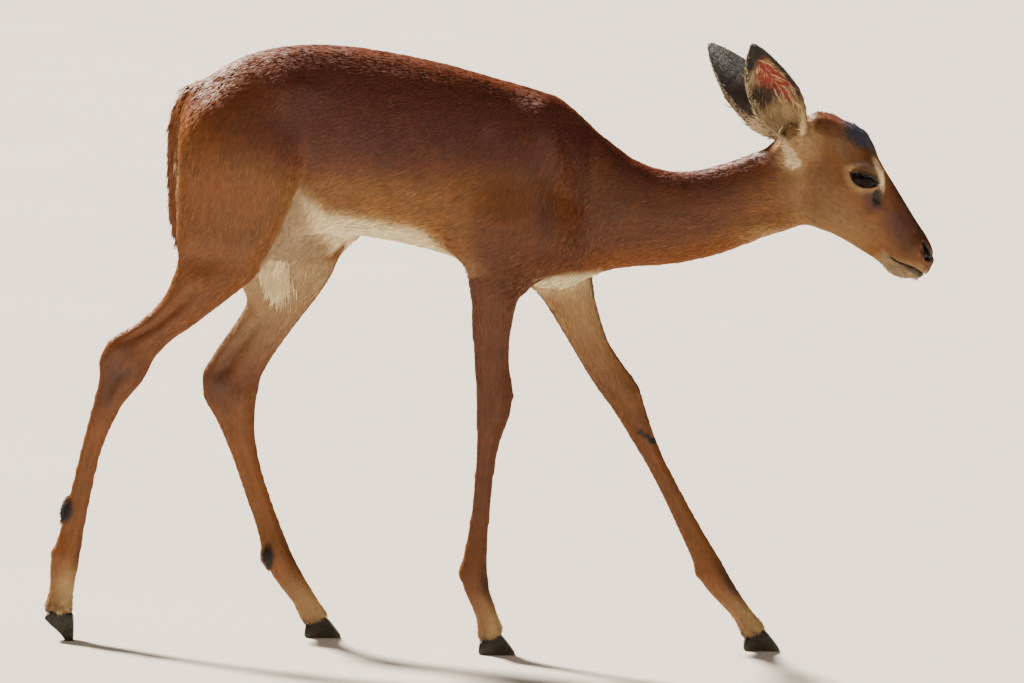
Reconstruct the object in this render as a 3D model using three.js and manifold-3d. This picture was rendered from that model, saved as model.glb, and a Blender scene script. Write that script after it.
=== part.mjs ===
// A young female impala, walking, at life size. Millimetres, +X forward, +Y to the animal's left, +Z up.
// The body is one smooth field: profiles swept along the trunk, head and legs, rounded by ellipsoids for muscle
// and bone, and blended where they meet. Each named part is a tube of rings laid out on that field, parted from
// its neighbours by thin cuts.
import * as THREE from "three";
import { mergeVertices } from "three/addons/utils/BufferGeometryUtils.js";
import Module from "manifold-3d";

const wasm = await Module();
wasm.setup();

// ---------------------------------------------------------------- driving dimensions
const PART_GAP = 0.35; // clear space of each thin cut
const BLEND = 22; // how softly one mass runs into the next on the trunk
const LEG_BLEND = 9; // the same on the lower legs and the face
const TRIM = 12; // how far a tube runs on past its cut
const HEAD_PITCH = -42; // degrees, from the horizontal to the line of poll to muzzle
const HEAD_ORIGIN = [372, 0, 577]; // centre of the skull's back
const EYE_RADIUS = 18.5;
const EYE_OPENING = [17, 9, 10.5]; // half length, depth and half height of the lids' opening
const EYE_SLANT = -24; // degrees, the opening's line to the horizontal
const LIP_DEPTH = 4; // of the line between the lips
const EAR_LENGTH = 143;
const EAR_THICKNESS = 3.4;
const CLAW_WIDTH = 12; // one of the two claws of a foot
const CLEFT = 1.0; // between the two claws

// ---------------------------------------------------------------- small tools
const rad = THREE.MathUtils.degToRad;
const vec = (x, y, z) => new THREE.Vector3(x, y, z);
const lerp = THREE.MathUtils.lerp;

// A smooth curve through the values that the stations give for one key.
function curve(stations, key) {
  const at = stations.map((s) => s.at);
  const value = stations.map((s) => s[key]);
  const last = at.length - 1;
  const slope = value.map((v, i) => {
    const a = Math.max(i - 1, 0);
    const b = Math.min(i + 1, last);
    return (value[b] - value[a]) / (at[b] - at[a]);
  });
  return (s) => {
    if (s <= at[0]) return value[0];
    if (s >= at[last]) return value[last];
    let i = 0;
    while (s > at[i + 1]) i += 1;
    const span = at[i + 1] - at[i];
    const t = (s - at[i]) / span;
    const t2 = t * t;
    const t3 = t2 * t;
    return (
      (2 * t3 - 3 * t2 + 1) * value[i] +
      (t3 - 2 * t2 + t) * span * slope[i] +
      (3 * t2 - 2 * t3) * value[i + 1] +
      (t3 - t2) * span * slope[i + 1]
    );
  };
}

// A mass swept along a straight line. At each station it reaches from low to high across the line and to half
// on each side of mid, where it is widest. The ends are rounded off over the lengths in caps.
function sweep({ origin = [0, 0, 0], along, across, stations, caps, power = 2.2 }) {
  const keys = ["low", "mid", "high", "half", "side"];
  const filled = stations.map((s) => ({ side: 0, ...s }));
  const of = Object.fromEntries(keys.map((k) => [k, curve(filled, k)]));
  const start = filled[0].at;
  const end = filled[filled.length - 1].at;
  const from = vec(...origin);
  const a = vec(...along).normalize();
  const b = vec(...across).normalize();
  return (p) => {
    const d = p.clone().sub(from);
    const s = d.dot(a);
    const h = d.dot(b) - of.mid(s);
    const reach = h > 0 ? of.high(s) - of.mid(s) : of.mid(s) - of.low(s);
    const half = of.half(s);
    const over = s < start ? (start - s) / caps[0] : s > end ? (s - end) / caps[1] : 0;
    const side = Math.abs(p.y - of.side(s)) / half;
    const rho = (side ** power + (Math.abs(h) / reach) ** power + over ** power) ** (1 / power);
    return (rho - 1) * Math.min(half, reach);
  };
}

// An ellipsoid; lean turns it about the Y axis (degrees, nose up), splay about the X axis.
function lump(centre, radii, lean = 0, splay = 0) {
  const c = vec(...centre);
  const r = vec(...radii);
  const turn = new THREE.Quaternion()
    .setFromEuler(new THREE.Euler(rad(splay), rad(-lean), 0))
    .invert();
  return (p) => {
    const q = p.clone().sub(c).applyQuaternion(turn);
    const near = q.clone().divide(r).length();
    const far = q.clone().divide(r).divide(r).length();
    return far < 1e-9 ? -Math.min(...radii) : (near * (near - 1)) / far;
  };
}

const softMin = (a, b, k) => {
  const h = Math.max(k - Math.abs(a - b), 0) / k;
  return Math.min(a, b) - (h * h * k) / 4;
};
const softMax = (a, b, k) => -softMin(-a, -b, k);

// ---------------------------------------------------------------- trunk and neck
// One sweep along X. mid is the height of the widest place.
const BODY = sweep({
  along: [1, 0, 0],
  across: [0, 0, 1],
  caps: [36, 10],
  stations: [
    { at: -335, high: 669, mid: 590, low: 496, half: 50 }, // point of the buttock
    { at: -300, high: 693, mid: 595, low: 478, half: 62 }, // croup
    { at: -240, high: 709, mid: 600, low: 482, half: 66 }, // hips
    { at: -185, high: 711, mid: 592, low: 487, half: 66 }, // loin
    { at: -120, high: 704, mid: 578, low: 481, half: 75 }, // last rib
    { at: -55, high: 692, mid: 566, low: 467, half: 74 }, // barrel
    { at: 5, high: 677, mid: 558, low: 444, half: 62 }, // girth
    { at: 55, high: 664, mid: 550, low: 431, half: 52 }, // withers
    { at: 95, high: 643, mid: 542, low: 430, half: 45 }, // point of the shoulder
    { at: 128, high: 617, mid: 533, low: 448, half: 40 }, // base of the neck
    { at: 165, high: 588, mid: 522, low: 456, half: 36 },
    { at: 215, high: 574, mid: 519, low: 461, half: 32.5 },
    { at: 265, high: 583, mid: 530, low: 474, half: 30.5 },
    { at: 315, high: 602, mid: 552, low: 495, half: 30.5 }, // throat
    { at: 350, high: 616, mid: 566, low: 512, half: 31 },
  ],
});

// Muscle and bone that stand out of the barrel: the same on both sides, so one list with side -1 and 1.
function flankMasses(side) {
  return [
    lump([50, side * 36, 572], [37, 30, 86], -16, side * 4), // shoulder blade
    lump([62, side * 44, 505], [44, 27, 50], 30), // upper arm
    lump([8, side * 46, 500], [38, 24, 46], -20), // back of the upper arm
    lump([-292, side * 48, 575], [62, 29, 82], 20), // haunch
    lump([-232, side * 42, 655], [26, 20, 18], 0), // point of the hip
    lump([-346, side * 27, 560], [25, 22, 58], 4), // seat bone
  ];
}

// ---------------------------------------------------------------- head
const HEAD_ALONG = [Math.cos(rad(HEAD_PITCH)), 0, Math.sin(rad(HEAD_PITCH))];
const HEAD_UP = [-Math.sin(rad(HEAD_PITCH)), 0, Math.cos(rad(HEAD_PITCH))];
// A place in the head: distance from the skull's back, height above its line, and out to a side.
function headPoint(s, h, y = 0) {
  return [
    HEAD_ORIGIN[0] + HEAD_ALONG[0] * s + HEAD_UP[0] * h,
    y,
    HEAD_ORIGIN[2] + HEAD_ALONG[2] * s + HEAD_UP[2] * h,
  ];
}
const SKULL = sweep({
  origin: HEAD_ORIGIN,
  along: HEAD_ALONG,
  across: HEAD_UP,
  caps: [30, 10],
  power: 2.25,
  stations: [
    { at: -18, high: 70, mid: 30, low: -22, half: 30 }, // nape
    { at: 8, high: 82, mid: 34, low: -38, half: 34 }, // crown
    { at: 26, high: 80, mid: 33, low: -44, half: 35.5 }, // brow
    { at: 50, high: 69, mid: 28, low: -40, half: 34 }, // orbit
    { at: 76, high: 62, mid: 22, low: -31, half: 27 }, // cheek
    { at: 106, high: 54, mid: 18, low: -24, half: 20.5 }, // root of the muzzle
    { at: 134, high: 46.5, mid: 14, low: -18.5, half: 16.5 },
    { at: 152, high: 42.5, mid: 13, low: -18.5, half: 16.5 }, // nostrils
    { at: 167, high: 36, mid: 12, low: -12, half: 15 }, // lips
    { at: 174, high: 30, mid: 11, low: -5, half: 12 },
  ],
});
function faceMasses(side) {
  return [
    lump(headPoint(46, 50, side * 29), [27, 14, 15], -36), // brow ridge over the eye
    lump(headPoint(49, 38, side * 26), [26, 16, 20], -30), // orbit
    lump(headPoint(62, 22, side * 25), [26, 10, 12], -42), // cheekbone
    lump(headPoint(44, -16, side * 19), [27, 12, 24], -42), // angle of the jaw
    lump(headPoint(160, 27, side * 10.5), [12, 7, 9], -42), // wing of the nostril
    lump([360, side * 32, 616], [23, 19, 24], 20), // root of the ear
  ];
}

// ---------------------------------------------------------------- legs
// Each leg is a sweep straight down, so low and high are its back and front edges at that height.
// at is the depth below the hip line, which keeps the stations in order from top to bottom.
const HIP_LINE = 700;
function leg(side, caps, rows) {
  const stations = rows.map(([z, back, front, half, out]) => ({
    at: HIP_LINE - z,
    low: back,
    mid: (back + front) / 2,
    high: front,
    half,
    side: side * out,
  }));
  return {
    side,
    stations,
    field: sweep({ origin: [0, 0, HIP_LINE], along: [0, 0, -1], across: [1, 0, 0], caps, stations }),
    back: curve(stations, "low"),
    front: curve(stations, "high"),
    out: curve(stations, "side"),
  };
}
const RIGHT = -1;
const LEFT = 1;

// height, back edge, front edge, half width, distance out from the midline
const LEGS = {
  hind_right: leg(RIGHT, [60, 6], [
    [560, -366, -236, 38, 44], // thigh
    [500, -369, -236, 35, 46],
    [455, -372, -254, 29, 50], // stifle
    [424, -376, -287, 24.5, 52],
    [396, -395, -321, 20, 53], // second thigh
    [372, -424, -350, 17, 52],
    [354, -449, -374, 16, 50], // point of the hock
    [334, -454, -390, 16.5, 49],
    [306, -456, -408, 15.5, 48], // hock
    [276, -463, -428, 12.5, 47],
    [228, -474, -448, 10.5, 46], // cannon
    [176, -485, -459, 10, 45],
    [128, -497, -467, 11, 44],
    [90, -507, -472, 13.5, 43], // fetlock
    [62, -506, -477, 12, 43],
    [40, -511, -479, 13, 43], // pastern
    [22, -514, -479, 14, 43], // coronet
  ]),
  hind_left: leg(LEFT, [60, 6], [
    [560, -340, -196, 38, 44],
    [510, -336, -168, 36, 46],
    [470, -330, -162, 33, 49], // stifle
    [434, -313, -180, 28, 52],
    [402, -288, -203, 22, 53],
    [366, -307, -229, 18, 52], // second thigh
    [330, -331, -252, 16, 50],
    [306, -340, -265, 16.5, 49], // point of the hock
    [282, -335, -272, 16.5, 48],
    [254, -319, -272, 14, 47], // hock
    [216, -301, -267, 11, 46], // cannon
    [168, -283, -252, 10, 45],
    [130, -268, -237, 11, 44],
    [98, -259, -223, 13.5, 43], // fetlock
    [70, -247, -207, 12.5, 43],
    [48, -228, -193, 13, 43], // pastern
    [26, -212, -180, 14, 43], // coronet
    [8, -207, -166, 13, 43],
  ]),
  fore_right: leg(RIGHT, [40, 6], [
    [500, -24, 62, 24, 50], // upper arm
    [462, -26, 52, 23, 54], // elbow
    [430, -22, 39, 21, 55],
    [400, -21, 32, 18, 55], // forearm
    [360, -17, 28, 15.5, 54],
    [322, -13, 31, 15.5, 53], // top of the knee
    [298, -12, 33, 15.5, 52],
    [272, -10, 26, 13.5, 51], // knee
    [244, -9.5, 18, 10.5, 50],
    [200, -10.5, 13, 9, 49], // cannon
    [158, -14, 10, 9, 48],
    [124, -19, 9, 11, 48],
    [96, -24, 10, 13, 47], // fetlock
    [76, -19, 13, 12, 47],
    [54, -8, 21, 12, 47], // pastern
    [32, 0, 28, 14, 47], // coronet
    [8, 1, 40, 13, 47],
  ]),
  fore_left: leg(LEFT, [40, 6], [
    [500, 6, 108, 25, 49],
    [462, 28, 124, 24, 53], // elbow
    [430, 48, 127, 21, 55],
    [400, 69, 135, 18, 55], // forearm
    [362, 94, 149, 15.5, 54],
    [324, 118, 174, 15.5, 53], // top of the knee
    [296, 138, 188, 15.5, 52],
    [264, 161, 199, 14, 51], // knee
    [228, 187, 214, 10.5, 50],
    [186, 211, 238, 9, 49], // cannon
    [144, 232, 263, 9, 48],
    [108, 250, 286, 11, 48],
    [80, 262, 303, 13, 47], // fetlock
    [60, 280, 316, 12, 47],
    [42, 300, 330, 12.5, 47], // pastern
    [26, 311, 343, 14, 47], // coronet
    [8, 316, 356, 13, 47],
  ]),
};

// Bone and sinew on the legs: elbow, knee cap, hock and the pads behind the fetlocks.
function legMasses(l) {
  const at = (z) => HIP_LINE - z;
  const out = (z) => l.out(at(z));
  const back = (z) => l.back(at(z));
  const front = (z) => l.front(at(z));
  const hind = l === LEGS.hind_right || l === LEGS.hind_left;
  if (!hind) {
    return [
      lump([back(458) + 12, out(458), 460], [13, 15, 20], 0), // elbow
      lump([front(306) - 13, out(306), 304], [12, 14.5, 24], l === LEGS.fore_left ? 32 : 0), // knee
    ];
  }
  const hock = l === LEGS.hind_right ? 345 : 298;
  return [
    lump([back(hock) + 13, out(hock), hock], [14, 9.5, 17], 12), // point of the hock
    lump([front(hock - 26) - 17, out(hock), hock - 22], [17, 16, 20], 0), // hock joint
  ];
}

// ---------------------------------------------------------------- the whole field
const trunkFields = [LEFT, RIGHT].flatMap(flankMasses);
const gullet = lump([366, 0, 533], [28, 20, 17], 0); // fills the angle between the jaw and the neck
const faceFields = [...[LEFT, RIGHT].flatMap(faceMasses), gullet];
const legFields = Object.values(LEGS).map((l) => {
  const masses = legMasses(l);
  return (p) => {
    let f = l.field(p);
    if (f < 40) for (const mass of masses) f = softMin(f, mass(p), LEG_BLEND);
    return f;
  };
});
function body(p) {
  let f = BODY(p);
  for (const mass of trunkFields) f = softMin(f, mass(p), BLEND);
  for (const limb of legFields) f = softMin(f, limb(p), BLEND);
  let h = SKULL(p);
  for (const mass of faceFields) h = softMin(h, mass(p), LEG_BLEND);
  return softMin(f, h, BLEND);
}

// ---------------------------------------------------------------- solids
const solidOf = (geometry) => {
  for (const name of ["normal", "uv"]) geometry.deleteAttribute(name);
  const merged = mergeVertices(geometry, 1e-3);
  return new wasm.Manifold(
    new wasm.Mesh({
      numProp: 3,
      vertProperties: new Float32Array(merged.attributes.position.array),
      triVerts: new Uint32Array(merged.index.array),
    }),
  );
};
function geometryOf(solid) {
  const mesh = solid.getMesh();
  return new THREE.BufferGeometry()
    .setAttribute("position", new THREE.BufferAttribute(new Float32Array(mesh.vertProperties), 3))
    .setIndex(new THREE.BufferAttribute(new Uint32Array(mesh.triVerts), 1));
}

// All space on the side of a plane that its normal points to, as far as the model reaches.
const FAR = 3000;
function halfSpace(point, normal, shift = 0) {
  const n = vec(...normal).normalize();
  const box = new THREE.BoxGeometry(FAR, FAR, FAR)
    .translate(0, 0, FAR / 2)
    .applyQuaternion(new THREE.Quaternion().setFromUnitVectors(vec(0, 0, 1), n));
  const p = vec(...point).addScaledVector(n, shift);
  return solidOf(box.translate(p.x, p.y, p.z));
}
const side = (point, normal) => {
  const n = vec(...normal).normalize();
  const d = n.dot(vec(...point));
  return (p) => n.dot(p) - d; // over 0 on the side that the normal points to
};

// Where a ray from inside first leaves the field.
const STEP = 3;
function surface(field, from, direction) {
  let r = 0;
  while (r < 400 && field(from.clone().addScaledVector(direction, r)) < 0) r += STEP;
  let low = Math.max(r - STEP, 0);
  let high = r;
  for (let i = 0; i < 12; i += 1) {
    const mid = (low + high) / 2;
    if (field(from.clone().addScaledVector(direction, mid)) < 0) low = mid;
    else high = mid;
  }
  return from.clone().addScaledVector(direction, (low + high) / 2);
}

// A closed tube laid out on a field. rings gives each ring's centre, normal and reference direction; a ring
// with pole ends the tube in a point on the surface, and any other end is flat.
function tube(field, rings, around) {
  const shape = new THREE.CylinderGeometry(1, 1, 1, around, rings.length - 1);
  const position = shape.attributes.position;
  const cache = new Map();
  for (let i = 0; i < position.count; i += 1) {
    const [x, y, z] = [position.getX(i), position.getY(i), position.getZ(i)];
    const ring = Math.round((y + 0.5) * (rings.length - 1));
    const spoke = Math.hypot(x, z) < 0.5 ? -1 : Math.round((Math.atan2(x, z) / (2 * Math.PI)) * around + around);
    const key = `${ring}:${spoke < 0 ? "centre" : spoke % around}`;
    if (!cache.has(key)) {
      const { centre, normal, first, pole } = rings[ring];
      const second = first.clone().cross(normal);
      if (spoke < 0) {
        const out = normal.clone().multiplyScalar(ring === 0 ? -1 : 1);
        cache.set(key, pole ? surface(field, centre, out) : centre.clone());
      } else {
        const angle = ((spoke % around) * 2 * Math.PI) / around;
        const out = first.clone().multiplyScalar(Math.sin(angle)).addScaledVector(second, Math.cos(angle));
        cache.set(key, surface(field, centre, out));
      }
    }
    const p = cache.get(key);
    position.setXYZ(i, p.x, p.y, p.z);
  }
  return solidOf(shape);
}

// count steps from a to b, without b.
const steps = (a, b, count) => Array.from({ length: count }, (_, i) => lerp(a, b, i / count));

// ---------------------------------------------------------------- where the parts divide
const NECK_ROOT = { point: [128, 0, 530], normal: [1, 0, 0.12] };
const THROAT = { point: [358, 0, 562], normal: [0.967, 0, 0.256] };
const HIND_CUT = 451; // the thighs end at this height
const HIND_WALL = -100; // and behind this plane, clear of the belly
const FORE_CUT = 450; // the upper arms end at this height
const FORE_INNER = 30; // and this far out, past the breast bone

// The region that one leg fills, as a test on points and as a solid; grow moves its walls out.
function legRegion(name, grow) {
  const [end, hand] = name.split("_");
  const out = hand === "left" ? 1 : -1;
  const hind = end === "hind";
  const walls = hind
    ? [[[0, 0, HIND_CUT], [0, 0, -1]], [[HIND_WALL, 0, 0], [-1, 0, 0]], [[0, 0, 0], [0, out, 0]]]
    : [[[0, 0, FORE_CUT], [0, 0, -1]], [[HIND_WALL, 0, 0], [1, 0, 0]], [[0, out * FORE_INNER, 0], [0, out, 0]]];
  const tests = walls.map(([point, normal]) => side(point, normal));
  return {
    test: (p) => -Math.min(...tests.map((t) => t(p))) - grow, // under 0 inside
    solid: walls.map(([p, n]) => halfSpace(p, n, -grow)).reduce((a, b) => a.intersect(b)),
  };
}

// ---------------------------------------------------------------- tubes of each part
const X = vec(1, 0, 0);
const Y = vec(0, 1, 0);

function trunkRings() {
  const mid = (x) => (x < 0 ? lerp(590, 566, (x + 345) / 345) : lerp(566, 532, x / 140));
  const levels = [-366, -360, -350, ...steps(-336, 140, 22), 140 + TRIM];
  return levels.map((x, i) => ({ centre: vec(x, 0, mid(x)), normal: X, first: Y, pole: i === 0 }));
}
function trunkSolid() {
  const regions = Object.keys(LEGS).map((name) => legRegion(name, -TRIM).test);
  const field = (p) => Math.max(body(p), ...regions.map((r) => -r(p)));
  let solid = tube(field, trunkRings(), 30).subtract(
    halfSpace(NECK_ROOT.point, NECK_ROOT.normal, -PART_GAP / 2),
  );
  for (const name of Object.keys(LEGS)) solid = solid.subtract(legRegion(name, PART_GAP / 2).solid);
  return solid;
}

function neckTube(grow) {
  const ends = [vec(128 - TRIM, 0, 532), vec(358 + TRIM, 0, 563)];
  const sag = -14; // the neck's line hangs a little between its ends
  const normals = [vec(...NECK_ROOT.normal).normalize(), vec(...THROAT.normal).normalize()];
  const rings = [0, ...steps(0.05, 0.95, 10), 0.95, 1].map((t) => {
    const normal = normals[0].clone().lerp(normals[1], t).normalize();
    const centre = ends[0].clone().lerp(ends[1], t);
    centre.z += sag * Math.sin(Math.PI * t);
    return { centre, normal, first: Y };
  });
  return tube((p) => body(p) - grow, rings, 20);
}
function neckSolid() {
  return neckTube(0)
    .intersect(halfSpace(NECK_ROOT.point, NECK_ROOT.normal, PART_GAP / 2))
    .subtract(halfSpace(THROAT.point, THROAT.normal, -PART_GAP / 2));
}

// The head's rings fan round a point under the throat, then run square to the face.
const FAN_PIVOT = vec(381, 0, 478);
const FAN_END = 82; // distance along the head where the rings run square to it
const FAN_REACH = [84, 88]; // from the pivot to the centre of the first and the last ring
function headRings() {
  const throat = vec(...THROAT.normal).normalize();
  const along = vec(...HEAD_ALONG);
  const across = (n) => vec(-n.z, 0, n.x);
  const fan = steps(-0.08, 1, 12).map((t) => {
    const angle = lerp(Math.atan2(throat.z, throat.x), rad(HEAD_PITCH), t);
    const normal = vec(Math.cos(angle), 0, Math.sin(angle));
    const reach = lerp(...FAN_REACH, Math.max(t, 0));
    return { centre: FAN_PIVOT.clone().addScaledVector(across(normal), reach), normal, first: Y };
  });
  const face = [...steps(FAN_END, 150, 7), ...steps(150, 174, 3), 174, 179].map((s) => {
    const height = lerp(20, 13, (s - FAN_END) / 110);
    return { centre: vec(...headPoint(s, height)), normal: along, first: Y, pole: s === 179 };
  });
  return [...fan, ...face];
}
function headTube(grow) {
  return tube((p) => body(p) - grow, headRings(), 28);
}

function legSolid(name) {
  const l = LEGS[name];
  const region = legRegion(name, TRIM);
  const top = name.startsWith("hind") ? 478 : 476;
  const low = 4; // well into the hooves
  const heights = [
    ...steps(top, 340, name.startsWith("hind") ? 7 : 5),
    ...steps(340, 140, 7),
    ...steps(140, low, 8),
    low,
  ];
  const rings = heights.map((z) => {
    const at = HIP_LINE - z;
    return {
      centre: vec((l.back(at) + l.front(at)) / 2, l.out(at), z),
      normal: vec(0, 0, -1),
      first: X,
    };
  });
  const field = (p) => Math.max(body(p), region.test(p));
  const cut = legRegion(name, -PART_GAP / 2).solid;
  return tube(field, rings, name.startsWith("hind") ? 14 : 12).intersect(cut);
}

// ---------------------------------------------------------------- tail
// Hangs from the croup against the buttocks, flat, and ends in a tuft.
const TAIL = sweep({
  origin: [0, 0, 700],
  along: [0, 0, -1],
  across: [1, 0, 0],
  caps: [14, 12],
  stations: [
    { at: 54, low: -370, mid: -360, high: -348, half: 9 },
    { at: 74, low: -380, mid: -369, high: -357, half: 10 },
    { at: 110, low: -384, mid: -372, high: -360, half: 11 },
    { at: 156, low: -382, mid: -371, high: -360, half: 12 },
    { at: 190, low: -379, mid: -369, high: -360, half: 12.5 },
    { at: 215, low: -375, mid: -368, high: -360, half: 10 },
    { at: 225, low: -372, mid: -367, high: -361, half: 7 },
  ],
});
const TAIL_RINGS = [41, 45, ...steps(53, 222, 11), 222, 231, 236];
function tailSolid() {
  const rings = TAIL_RINGS.map((at, i) => ({
    centre: vec(lerp(-358, -369, Math.min((at - 41) / 34, 1)), 0, 700 - at),
    normal: vec(0, 0, -1),
    first: X,
    pole: i === 0 || i === TAIL_RINGS.length - 1,
  }));
  const rump = (p) => Math.max(body(p) - PART_GAP, 440 - p.z);
  return tube(TAIL, rings, 8).subtract(tube(rump, trunkRings(), 30));
}

// ---------------------------------------------------------------- ears
// A leaf rolled into a cup: a closed tube at the root that opens to a shallow hollow at the tip.
const EAR = {
  stations: [
    { at: -0.04, width: 12.5, roll: 156 },
    { at: 0.08, width: 17, roll: 142 },
    { at: 0.22, width: 25, roll: 112 },
    { at: 0.42, width: 29.5, roll: 84 },
    { at: 0.6, width: 26.5, roll: 70 },
    { at: 0.78, width: 18.5, roll: 60 },
    { at: 0.92, width: 10, roll: 52 },
    { at: 1, width: 3, roll: 44 },
  ],
  bow: 8, // how far the middle of the ear bows away from its hollow
};
const earWidth = curve(EAR.stations, "width");
const earRoll = curve(EAR.stations, "roll");
function earSolid({ root, tip, open, drift }) {
  const from = vec(...root);
  const line = vec(...tip).sub(from);
  const long = line.length();
  const axis = line.normalize();
  const facing = vec(...open);
  facing.addScaledVector(axis, -facing.dot(axis)).normalize();
  const across = facing.clone().cross(axis);
  const rearward = across.x > 0 ? -1 : 1;
  const box = new THREE.BoxGeometry(2, 1, 2, 8, 12, 1);
  const position = box.attributes.position;
  for (let i = 0; i < position.count; i += 1) {
    const t = lerp(EAR.stations[0].at, 1, position.getY(i) + 0.5);
    const swell = Math.sin(Math.PI * Math.max(t, 0));
    const roll = rad(earRoll(t));
    const angle = position.getX(i) * roll;
    const radius = earWidth(t) / Math.sin(Math.min(roll, Math.PI / 2));
    const skin = radius + (position.getZ(i) * EAR_THICKNESS * lerp(1, 0.62, Math.max(t, 0))) / 2;
    const depth = radius * Math.cos(Math.min(roll, Math.PI / 2)) - EAR.bow * swell;
    const p = from
      .clone()
      .addScaledVector(axis, t * long)
      .addScaledVector(facing, depth - skin * Math.cos(angle))
      .addScaledVector(across, skin * Math.sin(angle) + rearward * drift * swell);
    position.setXYZ(i, p.x, p.y, p.z);
  }
  return solidOf(box);
}
// open is the way that the hollow faces, drift how far the leaf bulges towards its rear edge.
const EARS = {
  ear_right: { root: [357, -33, 620], tip: [299, -82, 731], open: [-0.32, -1, -0.2], drift: 7.5 },
  ear_left: { root: [355, 33, 615], tip: [252, 72, 719], open: [-0.3, 1, -0.3], drift: 6 },
};

// ---------------------------------------------------------------- eyes
const eyeCentre = (hand) => headPoint(49, 41, hand * 25.5);
function ellipsoidSolid(centre, radii, lean, around) {
  const ball = new THREE.SphereGeometry(1, around, Math.round(around * 0.75)).rotateX(Math.PI / 2);
  return solidOf(ball.scale(...radii).rotateY(rad(-lean)).translate(...centre));
}
function eyeSolid(hand, grow) {
  const radius = EYE_RADIUS + grow;
  return ellipsoidSolid(eyeCentre(hand), [radius, radius, radius], 0, 12);
}
function lidOpening(hand) {
  return ellipsoidSolid(headPoint(49, 41, hand * 41), EYE_OPENING, EYE_SLANT, 10);
}

// ---------------------------------------------------------------- nose and mouth
const nostril = (hand) => ellipsoidSolid(headPoint(161, 28, hand * 17), [8.5, 5, 4], -62, 8);
// The line between the lips, from the corner of the mouth to the front, as places along and above the head.
const LIPS = [[134, -5], [147, -3], [158, 2], [168, 6], [182, 8]];
function mouthSolid() {
  const line = new THREE.CatmullRomCurve3(LIPS.map(([s, h]) => vec(...headPoint(s, h))));
  const slit = new THREE.BoxGeometry(1, 60, 1.3, 8, 1, 1);
  const position = slit.attributes.position;
  for (let i = 0; i < position.count; i += 1) {
    const t = position.getX(i) + 0.5;
    const p = line.getPointAt(t);
    const open = Math.min(1, 0.25 + t * 3);
    position.setXYZ(i, p.x, position.getY(i), p.z + position.getZ(i) * open);
  }
  return solidOf(slit).subtract(headTube(-LIP_DEPTH));
}

// ---------------------------------------------------------------- hooves
// One claw: its side profile, heel to toe, extruded to its width and drawn in towards the toe. Its top is the
// slanting plane of the coronet, where the leg ends.
const CLAW = { length: 44, front: 24, heel: 10.5, slope: 18 };
const FRONT_TOP = [CLAW.length / 2 - CLAW.slope, CLAW.front];
const HEEL_TOP = [1 - CLAW.length / 2, CLAW.heel];
function clawSolid(hand) {
  const end = CLAW.length / 2;
  const shape = new THREE.Shape();
  shape.moveTo(-end, 3);
  shape.quadraticCurveTo(-end, 0, 5 - end, 0);
  shape.lineTo(end - 2, 0);
  shape.quadraticCurveTo(end + 1, 0.5, end - 1, 3.5);
  shape.lineTo(...FRONT_TOP);
  shape.lineTo(...HEEL_TOP);
  shape.closePath();
  const claw = new THREE.ExtrudeGeometry(shape, {
    depth: 1,
    steps: 2,
    curveSegments: 3,
    bevelEnabled: false,
  });
  const position = claw.attributes.position;
  for (let i = 0; i < position.count; i += 1) {
    const [x, y, z] = [position.getX(i), position.getY(i), position.getZ(i)];
    const toe = THREE.MathUtils.clamp((x + end) / CLAW.length, 0, 1);
    const width = CLAW_WIDTH * (1 - 0.5 * toe ** 2.4) * (1 - 0.1 * (y / CLAW.front));
    const belly = z > 0.4 && z < 0.6 ? 1.5 : 0; // the outer wall is a little full
    position.setXYZ(i, x, hand * (CLEFT / 2 + z * width + belly), y);
  }
  if (hand > 0) {
    for (let i = 0; i < position.count; i += 3) {
      const a = [position.getX(i), position.getY(i), position.getZ(i)];
      position.setXYZ(i, position.getX(i + 1), position.getY(i + 1), position.getZ(i + 1));
      position.setXYZ(i + 1, ...a);
    }
  }
  return solidOf(claw);
}
// All space over the plane of the coronet.
function overCoronet() {
  const [[x1, z1], [x0, z0]] = [FRONT_TOP, HEEL_TOP];
  return halfSpace([x1, 0, z1], [z0 - z1, 0, x1 - x0], PART_GAP);
}
// Where each foot stands: the middle of its sole, and how far its heel is raised.
const FEET = {
  hind_right: { at: [-500, RIGHT * 43, -1.6], raised: 39 },
  hind_left: { at: [-185, LEFT * 43, 0], raised: 0 },
  fore_right: { at: [23, RIGHT * 47, 0], raised: 0 },
  fore_left: { at: [338, LEFT * 47, 0], raised: 0 },
};
// A piece of a foot, turned about the tip of the toe and moved to its place.
function placed(solid, { at, raised }) {
  const toe = CLAW.length / 2;
  const geometry = geometryOf(solid).translate(-toe, 0, 0).rotateY(rad(raised)).translate(toe, 0, 0);
  return solidOf(geometry.translate(...at));
}

// ---------------------------------------------------------------- assembly
const finish = {
  coat: new THREE.MeshStandardMaterial({ color: 0x9a5a2c, roughness: 0.75, metalness: 0 }),
  pale: new THREE.MeshStandardMaterial({ color: 0xd8c6a4, roughness: 0.8, metalness: 0 }),
  horn: new THREE.MeshStandardMaterial({ color: 0x2b2620, roughness: 0.45, metalness: 0 }),
  eye: new THREE.MeshStandardMaterial({ color: 0x0b0a0c, roughness: 0.05, metalness: 0 }),
};
const impala = new THREE.Group();
function add(name, solid, material) {
  const mesh = new THREE.Mesh(geometryOf(solid), material);
  mesh.name = name;
  impala.add(mesh);
  return mesh;
}

const trunk = trunkSolid();
const eyes = { eye_right: RIGHT, eye_left: LEFT };
let head = headTube(0).intersect(halfSpace(THROAT.point, THROAT.normal, PART_GAP / 2));
for (const hand of Object.values(eyes)) {
  head = head.subtract(eyeSolid(hand, PART_GAP)).subtract(lidOpening(hand)).subtract(nostril(hand));
}
head = head.subtract(mouthSolid());
const headGrown = headTube(PART_GAP);
const neckGrown = neckTube(PART_GAP);

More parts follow.
